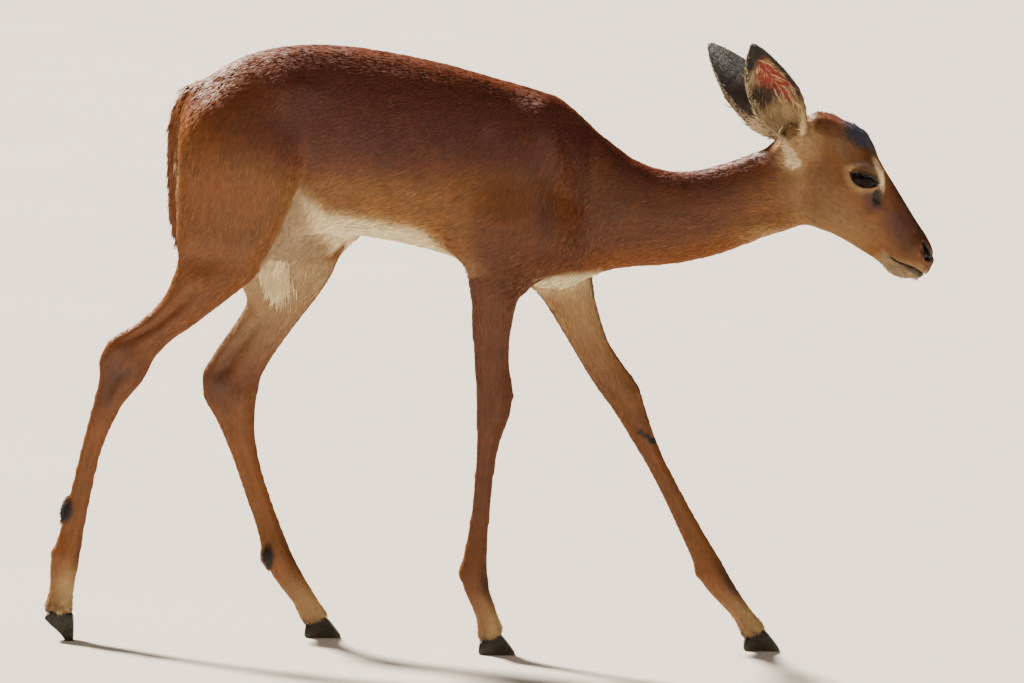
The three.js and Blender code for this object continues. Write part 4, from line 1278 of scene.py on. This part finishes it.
def eye_finish(colours):
    """A wet dark eye: near-black brown iris with a level oval pupil under a clear glossy front."""
    material, tree = new_material("wet eye")
    gaze = add(tree, "Attribute", attribute_name="gaze")
    split = add(tree, "SeparateXYZ", {0: gaze.outputs["Vector"]})
    flat = add(tree, "CombineXYZ", {"X": split.outputs["X"], "Y": split.outputs["Y"]})
    from_middle = add(tree, "VectorMath", {0: flat.outputs[0]}, operation="LENGTH").outputs["Value"]
    tall = add(tree, "Math", {0: split.outputs["Y"], 1: 2.3}, operation="MULTIPLY").outputs[0]
    oval = add(tree, "CombineXYZ", {"X": split.outputs["X"], "Y": tall})
    slot = add(tree, "VectorMath", {0: oval.outputs[0]}, operation="LENGTH").outputs["Value"]
    pupil = add(tree, "MapRange", {"Value": slot, "From Min": 0.40, "From Max": 0.47})
    iris = add(tree, "MapRange", {"Value": from_middle, "From Min": 0.66, "From Max": 0.74})
    streak = add(tree, "TexNoise", {"Vector": gaze.outputs["Vector"], "Scale": 9.0, "Detail": 4.0})
    brown = add(
        tree, "Mix", {0: streak.outputs["Fac"], 6: colours.iris, 7: colours.iris_dark}, data_type="RGBA",
    ).outputs[2]
    tone = add(tree, "Mix", {0: pupil.outputs[0], 6: colours.pupil, 7: brown}, data_type="RGBA").outputs[2]
    tone = add(tree, "Mix", {0: iris.outputs[0], 6: tone, 7: colours.eye_rim}, data_type="RGBA").outputs[2]
    shader = add(
        tree, "BsdfPrincipled",
        {"Base Color": tone, "Roughness": 0.04, "IOR": 1.34, "Specular IOR Level": 0.16},
    )
    add(tree, "OutputMaterial", {"Surface": shader.outputs[0]})
    return material


def floor_finish(colours):
    """Matt painted studio floor: even and pale, with faint clouding."""
    material, tree = new_material("matt floor paint")
    place = add(tree, "TexCoord").outputs["Object"]
    cloud = add(tree, "TexNoise", {"Vector": place, "Scale": 1.6, "Detail": 3.0})
    tone = add(
        tree, "Mix", {0: cloud.outputs["Fac"], 6: colours.floor, 7: colours.floor_light}, data_type="RGBA",
    ).outputs[2]
    shader = add(tree, "BsdfPrincipled", {"Base Color": tone, "Roughness": 0.85})
    add(tree, "OutputMaterial", {"Surface": shader.outputs[0]})
    return material


# ---------------------------------------------------------------- settings
def number(name, text, value, **limits):
    return FloatProperty(name=name, description=text, default=value, **limits)


def length_of(name, text, value):
    return number(name, text + ", in millimetres", value, min=0.1, soft_max=60.0)


def angle_of(name, text, degrees, **limits):
    return number(name, text, math.radians(degrees), subtype="ANGLE", **limits)


def colour_of(name, text, code):
    return FloatVectorProperty(
        name=name, description=text, default=srgb(code), size=4, min=0.0, max=1.0, subtype="COLOR",
    )


class ImpalaCoat(bpy.types.PropertyGroup):
    body_hair: length_of("Body hair", "Length of the tufts on the trunk", 9.0)
    face_hair: length_of("Face hair", "Length of the tufts on the brow; they are shorter to the muzzle", 5.6)
    fineness: number(
        "Fineness", "Width of a tuft as a share of its length", 0.125, min=0.03, max=0.5, subtype="FACTOR",
    )
    layers: number("Layers", "How many layers of hair lie over the skin", 1.75, min=0.2)
    lift: angle_of("Lift", "How far tufts stand from the skin", 9, min=0.0, max=math.radians(60))
    coarse: length_of("Body grid", "Spacing of the skin's grid on the body", 4.0)
    fine: length_of("Head grid", "Spacing of the skin's grid on the head", 1.6)
    seed: IntProperty(name="Seed", description="Number that sets where every tuft falls", default=7)


class ImpalaColours(bpy.types.PropertyGroup):
    haunch: colour_of("Ground", "Ground colour of the coat, as on the haunch", "#7a400a")
    flank: colour_of("Fawn", "Flanks, lower neck and shins", "#8a581a")
    saddle: colour_of("Saddle", "Deep red brown of the back", "#551f05")
    rufous: colour_of("Rufous", "Bridge of the nose and the arms", "#582603")
    cream: colour_of("Cream", "Edges of the white parts", "#cbaa73")
    white: colour_of("White", "Belly, chin and brow", "#eed9ab")
    # Slate is partly painted light: the bluish highlight on the crown's dark strands, and shade on the backs
    # of the ears, over the upper lids and in the groin.
    grey: colour_of("Slate", "Crown and the backs of the ears", "#44475a")
    # Ear skin is bare pink skin, its deep red partly a painted glow of light through the ear.
    pink: colour_of("Ear skin", "Bare skin inside the ears", "#a33a2c")
    black: colour_of("Black", "Marks on the ears, legs and rump", "#0e0b0b")
    horn: colour_of("Horn", "Hooves", "#17130c")
    horn_ring: colour_of("Horn stain", "Paler stains on the hooves", "#33291a")
    dust: colour_of("Dust", "Wear on the hooves' lower edge", "#63543a")
    iris: colour_of("Iris", "Iris of the eye", "#1b0f09")
    iris_dark: colour_of("Dark iris", "Darker streaks of the iris", "#0d0705")
    pupil: colour_of("Pupil", "Pupil of the eye", "#020203")
    eye_rim: colour_of("Eye white", "The eye beyond its iris", "#120b08")
    floor: colour_of("Floor", "Studio floor", "#d9d4ca")
    floor_light: colour_of("Light floor", "Paler clouds of the floor", "#e2ded6")
    room: colour_of("Room", "Light from all round", "#f2ede6")
    key_light: colour_of("Key light", "Light from behind and above", "#fff2e2")
    fill_light: colour_of("Fill light", "Light from the camera's side", "#ffe3c2")


class ImpalaStage(bpy.types.PropertyGroup):
    distance: number("Distance", "From the camera to the animal", 9.0, unit="LENGTH")
    height: angle_of("Height", "Angle that the camera looks down by", 6.5)
    roll: angle_of("Roll", "Turn of the picture", 1.8)
    lens: number("Lens", "Focal length in millimetres on a 36 mm sensor", 268.15)
    key: number("Key light", "Strength of the soft light from behind and above", 13.5)
    fill: number("Fill light", "Strength of the soft light from the camera's side", 0.5)
    world: number("Room light", "Strength of the light from all round", 0.22)


# ---------------------------------------------------------------- pieces
SWELL = 0.3  # mm that the solids swell by, to close the cuts between them
SEAM_GAP = 2.5  # mm kept clear on each side of the seam, for the band that joins the two grids
HEAD_SOLIDS = ("neck", "head", "ear_right", "ear_left", "eye_right", "eye_left")


class IMPALA_OT_skin(bpy.types.Operator):
    """Make one seamless skin from the solids of flesh"""

    bl_idname = "impala.skin"
    bl_label = "Skin"

    def execute(self, context):
        coat = context.scene.impala_coat
        body_solids = [n for n in REGIONS if n not in ("head", "ear_right", "ear_left")]
        bm = remeshed(flesh_copy(body_solids, SWELL), coat.coarse)
        head = remeshed(flesh_copy(HEAD_SOLIDS, SWELL), coat.fine)
        keep_side(bm, False, SEAM_GAP)
        keep_side(head, True, SEAM_GAP)
        add_to(bm, head)
        bmesh.ops.bridge_loops(bm, edges=[e for e in bm.edges if len(e.link_faces) == 1])
        self.refine(bm)
        p, n, region = self.shaped(bm, coat)
        mesh = bpy.data.meshes.new("skin")
        bm.to_mesh(mesh)
        bm.free()
        mesh.shade_smooth()
        mesh.calc_loop_triangles()
        tris = np.empty(len(mesh.loop_triangles) * 3, np.int32)
        mesh.loop_triangles.foreach_get("vertices", tris)
        hide_map(mesh, p, n, region)
        put_marks(mesh, markings(p, n, region))
        bare = bareness(p, region)
        lock = np.stack([0 * bare, 0 * bare + 0.5, bare, 0 * bare + 1], 1)
        put_attribute(mesh, "lock", "FLOAT_COLOR", lock)
        HIDE.update(p=p, n=n, region=region, tris=tris.reshape(-1, 3), lie=lie_of(p, n, region))
        material = coat_finish("hide under short hair", context.scene.impala_colours, False)
        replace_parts(placed("skin", mesh, material), *REGIONS)
        return {"FINISHED"}

    def refine(self, bm):
        """Halves the grid round the eyes, the nostrils and the lips."""
        places = to_drawn([v.co for v in bm.verts])
        s, h, out = in_head(places)
        u, v, _ = on_eye(places)
        wanted = ((np.hypot(u, v) < 27) & (out > 22)) | ((s > 128) & (h > -30))
        wanted &= s > 5
        edges = [e for e in bm.edges if wanted[e.verts[0].index] and wanted[e.verts[1].index]]
        bmesh.ops.subdivide_edges(bm, edges=edges, cuts=1, use_grid_fill=True)
        bm.verts.index_update()
        bm.verts.ensure_lookup_table()

    def shaped(self, bm, coat):
        """Evens out the grid, sinks it by the depth of the coat and works the relief into it."""
        p = to_drawn([v.co for v in bm.verts])
        edges, count = neighbours(bm)
        head = smooth(past(SEAM, p), 0, 8)
        ear = head * smooth((p - EARS[EAR_R]["root"]) @ np.array((-0.5, 0, 0.87)), 6, 16)
        p = settled(p, edges, count, bm, rounds=14, spread=20, weight=1 - head)
        p = settled(p, edges, count, bm, rounds=16, spread=24, weight=head * (1 - ear))
        # the roots of the legs, the withers and the nape are evened out more, so that no cut shows
        x, _, z = p.T
        roots = np.maximum(bell(z, 453, 24), bell(x + 0.12 * (z - 530), 124, 22)) * (1 - head)
        roots = np.maximum(roots, bell(x, 85, 24) * smooth(z, 600, 640) * (1 - head))
        p = relax(p, edges, count, rounds=30, weight=roots * roots, swell=0.0)
        p = relax(p, edges, count, rounds=70, weight=roots)
        nape = bell(past(THROAT, p), 6, 22) * head * (1 - ear) * smooth(-p[:, 2], -622, -590)
        p = relax(p, edges, count, rounds=50, weight=nape, swell=0.0)
        p = relax(p, edges, count, rounds=60, weight=nape)
        p = relax(p, edges, count, rounds=12, weight=np.ones(len(p)))
        p = relax(p, edges, count, rounds=14, weight=smooth(-p[:, 2], -440, -400) * (1 - head))
        region = nearest_region(p)
        n = normals_at(bm, p)
        p = p - n * coat_depth(p, n, region, coat)[:, None]
        relief = body_relief(p, n, region) + leg_relief(p, n, region) + face_relief(p, n, region)
        p = p + n * relief[:, None]
        p = relax(p, edges, count, rounds=2, weight=1 - 0.8 * (region == HEAD))
        p = lidded(p, region)
        return p, normals_at(bm, p), region


def bareness(p, region):
    """Where the skin is bare: the rims of the lids, the lips and the inside of the nostrils."""
    s, h, out = in_head(p)
    u, v, _ = on_eye(p)
    rim = smooth(-lid_gap(u, v), -3.0, -1.2) * smooth(out, 18, 24)
    hole = smooth(-nostril_gap(s, h), -0.6, 0.4) * smooth(out, 5, 8)
    mouth, along = near_line(s, h, LIPS)
    lips = smooth(-mouth, -1.3, -0.6) * smooth(along, 0.02, 0.1)
    return np.maximum.reduce((rim, hole, lips)) * (region == HEAD)


def ear_inside(p, n, region):
    """How far places lie in the hollows of the ears."""
    found = np.zeros(len(p))
    for which in EARS:
        t, _, _, facing, _ = in_ear(p, which)
        found = np.where(region == which, in_hollow(n, facing) * smooth(t, 0.05, 0.2), found)
    return found


THINNED = (0.93, 1.0, 0.74, 0.6)  # share of the layers on the head, tail, legs and ears
TUFT_WIDTH = (0.55, 1.5)  # least and most
PIECE_FACES = 190000  # most that one piece of the coat may have
LOCK_SIDES = len(LOCK_FACES)
COAT_PIECES = {
    "coat_trunk": (TRUNK,), "coat_neck": (NECK,), "coat_head": (HEAD,), "coat_ears": EAR_PAIR,
    "coat_tail": (TAIL,), "coat_hind_legs": HIND_LEGS, "coat_fore_legs": FORE_LEGS,
}


class IMPALA_OT_coat(bpy.types.Operator):
    """Lay short tufts all over the skin, each along the lie of the coat"""

    bl_idname = "impala.coat"
    bl_label = "Coat"

    def execute(self, context):
        coat = context.scene.impala_coat
        p, n, region = HIDE["p"], HIDE["n"], HIDE["region"]
        length = hair_length(p, n, region, coat)
        width = np.clip(length * coat.fineness, *TUFT_WIDTH)
        lift = np.full(len(p), math.degrees(coat.lift))
        lift = np.where(region >= HIND_R, lift * (0.5 + 0.5 * smooth(p[:, 2], 390, 450)), lift)
        s, _, _ = in_head(p)
        lift = np.where((region == HEAD) & (s > 60), lift * 0.8, lift)
        weight = coat.layers * (1 - bareness(p, region)) * (1 - 0.55 * ear_inside(p, n, region))
        parts = [region == HEAD, region == TAIL, region >= HIND_R, region >= EAR_R]
        density, total = coverage(weight * np.select(parts, THINNED, 1.0), length, width)
        t = tufts(density, int(total), coat.seed, length, width, lift)
        material = coat_finish("short deer hair", context.scene.impala_colours, True)
        HIDE["hair"] = material
        for name, group in COAT_PIECES.items():
            mine = chosen(t, np.isin(t["region"], group))
            pieces = math.ceil(len(mine["co"]) * LOCK_SIDES / PIECE_FACES)
            order = np.argsort(mine["root"][:, 0], kind="stable")
            for i, some in enumerate(np.array_split(order, pieces), 1):
                coat_piece(f"{name}_{i}" if pieces > 1 else name, chosen(mine, np.sort(some)), material)
        return {"FINISHED"}


def only(**amounts):
    """A tone for tufts with the named markings alone; an amount is a number or a function of the root."""

    def tone(root, marks):
        marks = marks * 0
        for name, amount in amounts.items():
            marks[:, MARKS.index(name)] = amount(root) if callable(amount) else amount
        return marks

    return tone


MILKY = only(white=lambda root: 1 - 0.3 * np.abs(waver(root, size=8, seed=13)), cream=1)


def pale(root, marks):
    """The tone of the long hair inside the ears: its markings, with no pink and more cream and white."""
    marks = marks.copy()
    marks[:, MARKS.index("pink")] = 0
    marks[:, MARKS.index("black")] *= 0.7
    for name, least in (("cream", 0.75), ("white", 0.3)):
        column = MARKS.index(name)
        marks[:, column] = np.maximum(marks[:, column], least)
    return marks


class IMPALA_OT_fringes(bpy.types.Operator):
    """Add the longer hair: ears, nape, rump, tail, groin, belly and the black tufts on the hind legs"""

    bl_idname = "impala.fringes"
    bl_label = "Longer hair"

    def execute(self, context):
        self.seed = context.scene.impala_coat.seed + 100
        self.parts = []
        self.on_body()
        self.on_legs()
        self.on_ears()
        chin = (HIDE["region"] == HEAD) * under_lip(HIDE["p"])
        self.grow(chin, 500, 4.5, 0.4, 24.0)
        coat_piece("long_hair", joined(*self.parts), HIDE["hair"])
        return {"FINISHED"}

    def grow(self, weight, count, length, width, lift, spread=12.0, way=None, tone=None):
        """Adds tufts where weight says, with a seed of their own: sizes in millimetres, angles in degrees."""
        seed = self.seed + len(self.parts)
        self.parts.append(tufts(weight, count, seed, length, width, lift, spread, lie=way, tone=tone))

    def on_body(self):
        """The rump, tail, nape, crown and the belly's edge."""
        p, n, region = HIDE["p"], HIDE["n"], HIDE["region"]
        x, y, z = p.T
        rump = (region == TRUNK) * smooth(-n[:, 0], 0.35, 0.8) * smooth(-x, 300, 330)
        self.grow(rump, 2400, 10.0, 0.8, 13.0)
        self.grow((region == TAIL) * 1.0, 1500, 15.0, 1.0, 13.0)
        gap, part = near_line(x, z, NAPE_LOCK)
        nape = smooth(1 + 5.5 * part - gap, -3, 3) * (np.abs(y) > 12) * np.isin(region, (HEAD, NECK))
        self.grow(nape, 520, 8.5, 0.6, 17.0, 15.0, tone=MILKY)
        crown = (region == HEAD) * smooth(z, 626, 640) * smooth(-np.abs(x - 400), -34, -18)
        self.grow(crown, 1300, 8.5, 0.5, 20.0, 20.0)
        edge = (region == TRUNK) * bell(z, line_at(BELLY_EDGE, x), 6) * smooth(-n[:, 2], -0.3, 0.3)
        self.grow(edge, 1800, 9.0, 0.9, 14.0)

    def on_legs(self):
        """The groin, coronets, breast and the black tufts of the hind legs."""
        p, n, region = HIDE["p"], HIDE["n"], HIDE["region"]
        x, _, z = p.T
        groin = bell(x + 0.25 * (z - 446), -253, 8) * bell(z, 444, 17)
        groin = groin * (region == HIND_L) * smooth(-n[:, 1], 0.0, 0.5)
        self.grow(groin, 1500, 22.0, 0.8, 15.0, 9.0, way=np.zeros_like(p) + (-0.12, -0.2, -1), tone=MILKY)
        coronet = np.zeros(len(p))
        for r in LEG_LINES:
            foot = 20 * (r == HIND_R)
            coronet += (region == r) * smooth(-z, -46 - foot, -26 - foot)
        self.grow(coronet, 2400, 7.0, 0.7, 13.0, 14.0)
        breast = (region == TRUNK) * smooth(-n[:, 2], 0.2, 0.7) * smooth(x, 20, 50)
        self.grow(breast, 1200, 11.0, 1.0, 14.0)
        gland = np.zeros(len(p))
        for mark_x, mark_z, half_x, half_z, r in GLANDS:
            gland += (region == r) * smooth(bell(x, mark_x, half_x) * bell(z, mark_z, half_z), 0.3, 0.6)
        self.grow(gland, 1800, 9.0, 0.8, 26.0, 16.0)

    def on_ears(self):
        """Long pale hair inside the ears and behind their roots, and short hair round their rims."""
        p, n, region = HIDE["p"], HIDE["n"], HIDE["region"]
        hollow, back, front_rim, rear_rim = (np.zeros(len(p)) for _ in range(4))
        fan = HIDE["lie"].copy()
        for which in EARS:
            t, c, axis, facing, front = in_ear(p, which)
            mine = region == which
            face = n @ facing
            thick = 0.4 + 0.6 * np.maximum(smooth(np.abs(c - 0.1), 0.5, 0.9), smooth(-t, -0.42, -0.3))
            within = smooth(face, 0, 0.4) * smooth(t, 0.06, 0.2) * smooth(-t, -0.84, -0.66)
            hollow += mine * within * thick
            back += mine * smooth(-t, -0.34, -0.2) * smooth(-c, 0.1, 0.6) * smooth(-face, -0.3, 0.3)
            front_rim += mine * smooth(c, 0.86, 0.98) * smooth(-t, -0.9, -0.7)
            rear_rim += mine * smooth(np.maximum(-c, (t - 0.9) * 10), 0.88, 0.99) * smooth(t, 0.08, 0.2)
            inner = mine & (face > 0)
            fan[inner] = (axis * 0.85 - front * (np.clip(c, -1, 1) * 1.1)[:, None])[inner]
        self.grow(hollow, 620, 15.0, 0.4, 9.0, 16.0, way=fan, tone=pale)
        self.grow(back, 800, 10.0, 0.6, 15.0, tone=MILKY)
        self.grow(front_rim, 1400, 4.5, 0.45, 14.0)
        self.grow(rear_rim, 1500, 4.0, 0.35, 16.0, tone=MILKY)


def under_lip(p):
    """1 on the lower lip and chin."""
    s, h, _ = in_head(p)
    return smooth(s, 136, 150) * smooth(-above_lips(s, h), 4, 8)


EYE_WAYS = {"eye_right": -1, "eye_left": 1}
CLEAR_FRONT = 0.05  # share by which the clear front stands out from the ball
LASHES, LASH_SEED = 110, 71


class IMPALA_OT_eyes(bpy.types.Operator):
    """Make the two eyes, each a ball with a fuller clear front, and the lashes over them"""

    bl_idname = "impala.eyes"
    bl_label = "Eyes and lashes"

    def execute(self, context):
        material = eye_finish(context.scene.impala_colours)
        opening = ALONG * math.cos(LID_LEAN) + UP * math.sin(LID_LEAN)
        for name, side in EYE_WAYS.items():
            centre = head_point(EYE_AT[0], EYE_AT[1], side * EYE_AT[2])
            gaze = unit(np.array((0.12, side * 1.0, 0.02)))
            across = unit(opening - gaze * (opening @ gaze))
            upward = np.cross(gaze, across)
            bm = bmesh.new()
            bmesh.ops.create_uvsphere(bm, u_segments=48, v_segments=32, radius=1.0)
            local = np.array([v.co for v in bm.verts])
            reach = EYE_BALL * (1 + CLEAR_FRONT * smooth(local[:, 2], 0.72, 1.0))
            places = centre + reach[:, None] * (local @ np.array((across, upward, gaze)))
            for v, co in zip(bm.verts, to_frame(places)):
                v.co = co
            bmesh.ops.recalc_face_normals(bm, faces=bm.faces)
            mesh = bpy.data.meshes.new("ball_" + name)
            bm.to_mesh(mesh)
            bm.free()
            mesh.shade_smooth()
            put_attribute(mesh, "gaze", "FLOAT_VECTOR", local)
            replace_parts(placed("ball_" + name, mesh, material), name)
        self.lashes()
        return {"FINISHED"}

    def lashes(self):
        """Long dark hairs along the upper lid, leaning out and down over the eye."""
        p, region = HIDE["p"], HIDE["region"]
        u, v, _ = on_eye(p)
        out = np.abs(p[:, 1])
        weight = (region == HEAD) * bell(lid_gap(u, v), 0.9, 0.9) * smooth(v, 2, 5) * (out > 24)
        side = side_of(p[:, 1])
        way = np.stack([0.35 + 0 * side, side, -0.42 + 0 * side], 1)
        lash = tufts(weight, LASHES, LASH_SEED, 9.5, 0.45, 26.0, 10.0, lie=way, tone=only(black=1))
        coat_piece("lashes", lash, HIDE["hair"])


# Metres, as the claws are worked in the frame.
CLAW_TOP = 0.012  # least height of a claw's upper face
CLAW_ROOT = 0.004  # how far a claw goes up under the skin
CLAW_EDGE = 0.0022  # of its bevels and of its finest faces
SOLE = 0.0006  # height up to which a claw stands flat
ROOT_NARROWING = 0.8
WALL_ROUNDS, SOLE_ROUNDS = 24, 9


class IMPALA_OT_hooves(bpy.types.Operator):
    """Round the edges of the eight claws and carry their tops up under the skin"""

    bl_idname = "impala.hooves"
    bl_label = "Hooves"

    def execute(self, context):
        material = horn_finish(context.scene.impala_colours)
        for name in CLAWS:
            bm = bmesh.new()
            bm.from_mesh(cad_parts[name].data)
            bmesh.ops.remove_doubles(bm, verts=bm.verts, dist=1e-5)
            bmesh.ops.dissolve_limit(bm, angle_limit=math.radians(1), verts=bm.verts, edges=bm.edges)
            bm.normal_update()
            high = [f for f in bm.faces if f.calc_center_median().z > CLAW_TOP]
            top = max(high, key=lambda f: f.normal.z * f.calc_area())
            crown, place = top.normal.copy(), top.calc_center_median()
            self.raise_root(bm, top, crown * CLAW_ROOT)
            self.round_off(bm)
            bmesh.ops.recalc_face_normals(bm, faces=bm.faces)
            mesh = bpy.data.meshes.new(name.replace("hoof", "claw"))
            bm.to_mesh(mesh)
            bm.free()
            mesh.shade_smooth()
            depth = np.array([(place - v.co).dot(crown) for v in mesh.vertices])
            put_attribute(mesh, "depth", "FLOAT", depth)
            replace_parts(placed(mesh.name, mesh, material), name)
        return {"FINISHED"}

    def raise_root(self, bm, top, rise):
        """Draws the upper face up into the hair of the coronet, a little narrower."""
        grown = bmesh.ops.extrude_face_region(bm, geom=[top])["geom"]
        if top.is_valid:
            bmesh.ops.delete(bm, geom=[top], context="FACES_ONLY")
        lifted = [v for v in grown if isinstance(v, bmesh.types.BMVert)]
        bmesh.ops.translate(bm, vec=rise, verts=lifted)
        middle = sum((v.co for v in lifted), Vector()) / len(lifted)
        for v in lifted:
            v.co = middle + (v.co - middle) * ROOT_NARROWING

    def round_off(self, bm):
        """Bevels the sharp edges, makes the faces fine and evens them out, the sole within its own plane."""
        sharp = [
            e for e in bm.edges if len(e.link_faces) == 2 and e.calc_face_angle(0) > math.radians(32)
        ]
        bmesh.ops.bevel(
            bm, geom=sharp, offset=CLAW_EDGE, segments=3, profile=0.5, affect="EDGES", material=-1,
            clamp_overlap=True,
        )
        bmesh.ops.triangulate(bm, faces=bm.faces)
        for _ in range(3):
            long = [e for e in bm.edges if e.calc_length() > CLAW_EDGE]
            bmesh.ops.subdivide_edges(bm, edges=long, cuts=1)
            bmesh.ops.triangulate(bm, faces=bm.faces)
        walls = [v for v in bm.verts if v.co.z > SOLE]
        sole = [v for v in bm.verts if v.co.z <= SOLE]
        for turn in range(WALL_ROUNDS):
            for verts, upward in ((walls, True), (sole, False)):
                if upward or turn < SOLE_ROUNDS:
                    bmesh.ops.smooth_vert(
                        bm, verts=verts, factor=0.5, use_axis_x=True, use_axis_y=True, use_axis_z=upward,
                    )


# Directions of the lights, and how many degrees of sky each fills.
KEY_WAY, KEY_SPAN = (0.52, -0.5, -0.74), 8
FILL_WAY, FILL_SPAN = (-0.25, 0.9, -0.42), 60
LOOK_AT = np.array((29.5, 0.0, 366.0))  # middle of the picture, in drawn millimetres
FLOOR_RADIUS = 40.0  # metres


class IMPALA_OT_stage(bpy.types.Operator):
    """Lay the pale floor and set the soft lights and the camera"""

    bl_idname = "impala.stage"
    bl_label = "Stage"

    def execute(self, context):
        stage = context.scene.impala_stage
        colours = context.scene.impala_colours
        bm = bmesh.new()
        bmesh.ops.create_circle(bm, cap_ends=True, segments=96, radius=FLOOR_RADIUS)
        mesh = bpy.data.meshes.new("floor")
        bm.to_mesh(mesh)
        bm.free()
        floor = bpy.data.objects.new("floor", mesh)
        context.collection.objects.link(floor)
        mesh.materials.append(floor_finish(colours))

        world = bpy.data.worlds.new("pale room")
        context.scene.world = world
        world.use_nodes = True
        back = world.node_tree.nodes["Background"]
        back.inputs["Color"].default_value = colours.room
        back.inputs["Strength"].default_value = stage.world
        self.sun(context, "key", KEY_WAY, stage.key, KEY_SPAN, colours.key_light)
        self.sun(context, "fill", FILL_WAY, stage.fill, FILL_SPAN, colours.fill_light)
        self.camera(context, stage)
        return {"FINISHED"}

    def sun(self, context, name, heading, strength, span, colour):
        light = bpy.data.lights.new(name, "SUN")
        light.energy = strength
        light.angle = math.radians(span)
        light.color = colour[:3]
        obj = bpy.data.objects.new(name, light)
        obj.rotation_euler = Vector(heading).to_track_quat("-Z", "Y").to_euler()
        context.collection.objects.link(obj)

    def camera(self, context, stage):
        """Sets the camera on the animal's right, looking a little down, with the picture turned a little."""
        right = np.array((1.0, 0, 0))
        ahead = np.array((0, math.cos(stage.height), -math.sin(stage.height)))
        above = np.array((0, math.sin(stage.height), math.cos(stage.height)))
        turned = right * math.cos(stage.roll) + above * math.sin(stage.roll)
        upward = above * math.cos(stage.roll) - right * math.sin(stage.roll)
        place = to_frame(LOOK_AT) - ahead * stage.distance
        data = bpy.data.cameras.new("camera")
        data.lens = stage.lens
        data.sensor_width = 36.0
        data.sensor_fit = "HORIZONTAL"
        camera = bpy.data.objects.new("camera", data)
        matrix = np.eye(4)
        matrix[:3] = np.stack([turned, upward, -ahead, place], axis=1)
        camera.matrix_world = Matrix(matrix.tolist())
        context.collection.objects.link(camera)
        context.scene.camera = camera


class IMPALA_PT_panel(bpy.types.Panel):
    """Lists the sizes and colours, and the operators that build the animal"""

    bl_label = "Impala"
    bl_idname = "IMPALA_PT_panel"
    bl_space_type = "VIEW_3D"
    bl_region_type = "UI"
    bl_category = "Impala"

    def draw(self, context):
        for group in GROUPS:
            box = self.layout.box()
            box.label(text=group.removeprefix("impala_").capitalize())
            settings = getattr(context.scene, group)
            for key in settings.bl_rna.properties.keys():
                if key not in ("rna_type", "name"):
                    box.prop(settings, key)
        for step in STEPS:
            self.layout.operator(f"impala.{step}")


STEPS = ("stage", "skin", "coat", "fringes", "eyes", "hooves")
GROUPS = {"impala_coat": ImpalaCoat, "impala_colours": ImpalaColours, "impala_stage": ImpalaStage}
CLASSES = (
    *GROUPS.values(), IMPALA_OT_skin, IMPALA_OT_coat, IMPALA_OT_fringes, IMPALA_OT_eyes,
    IMPALA_OT_hooves, IMPALA_OT_stage, IMPALA_PT_panel,
)


def register():
    for cls in CLASSES:
        bpy.utils.register_class(cls)
    for name, group in GROUPS.items():
        setattr(bpy.types.Scene, name, PointerProperty(type=group))


def unregister():
    for name in GROUPS:
        delattr(bpy.types.Scene, name)
    for cls in reversed(CLASSES):
        bpy.utils.unregister_class(cls)


def main():
    register()
    for step in STEPS:
        getattr(bpy.ops.impala, step)()


if __name__ == "__main__":
    main()
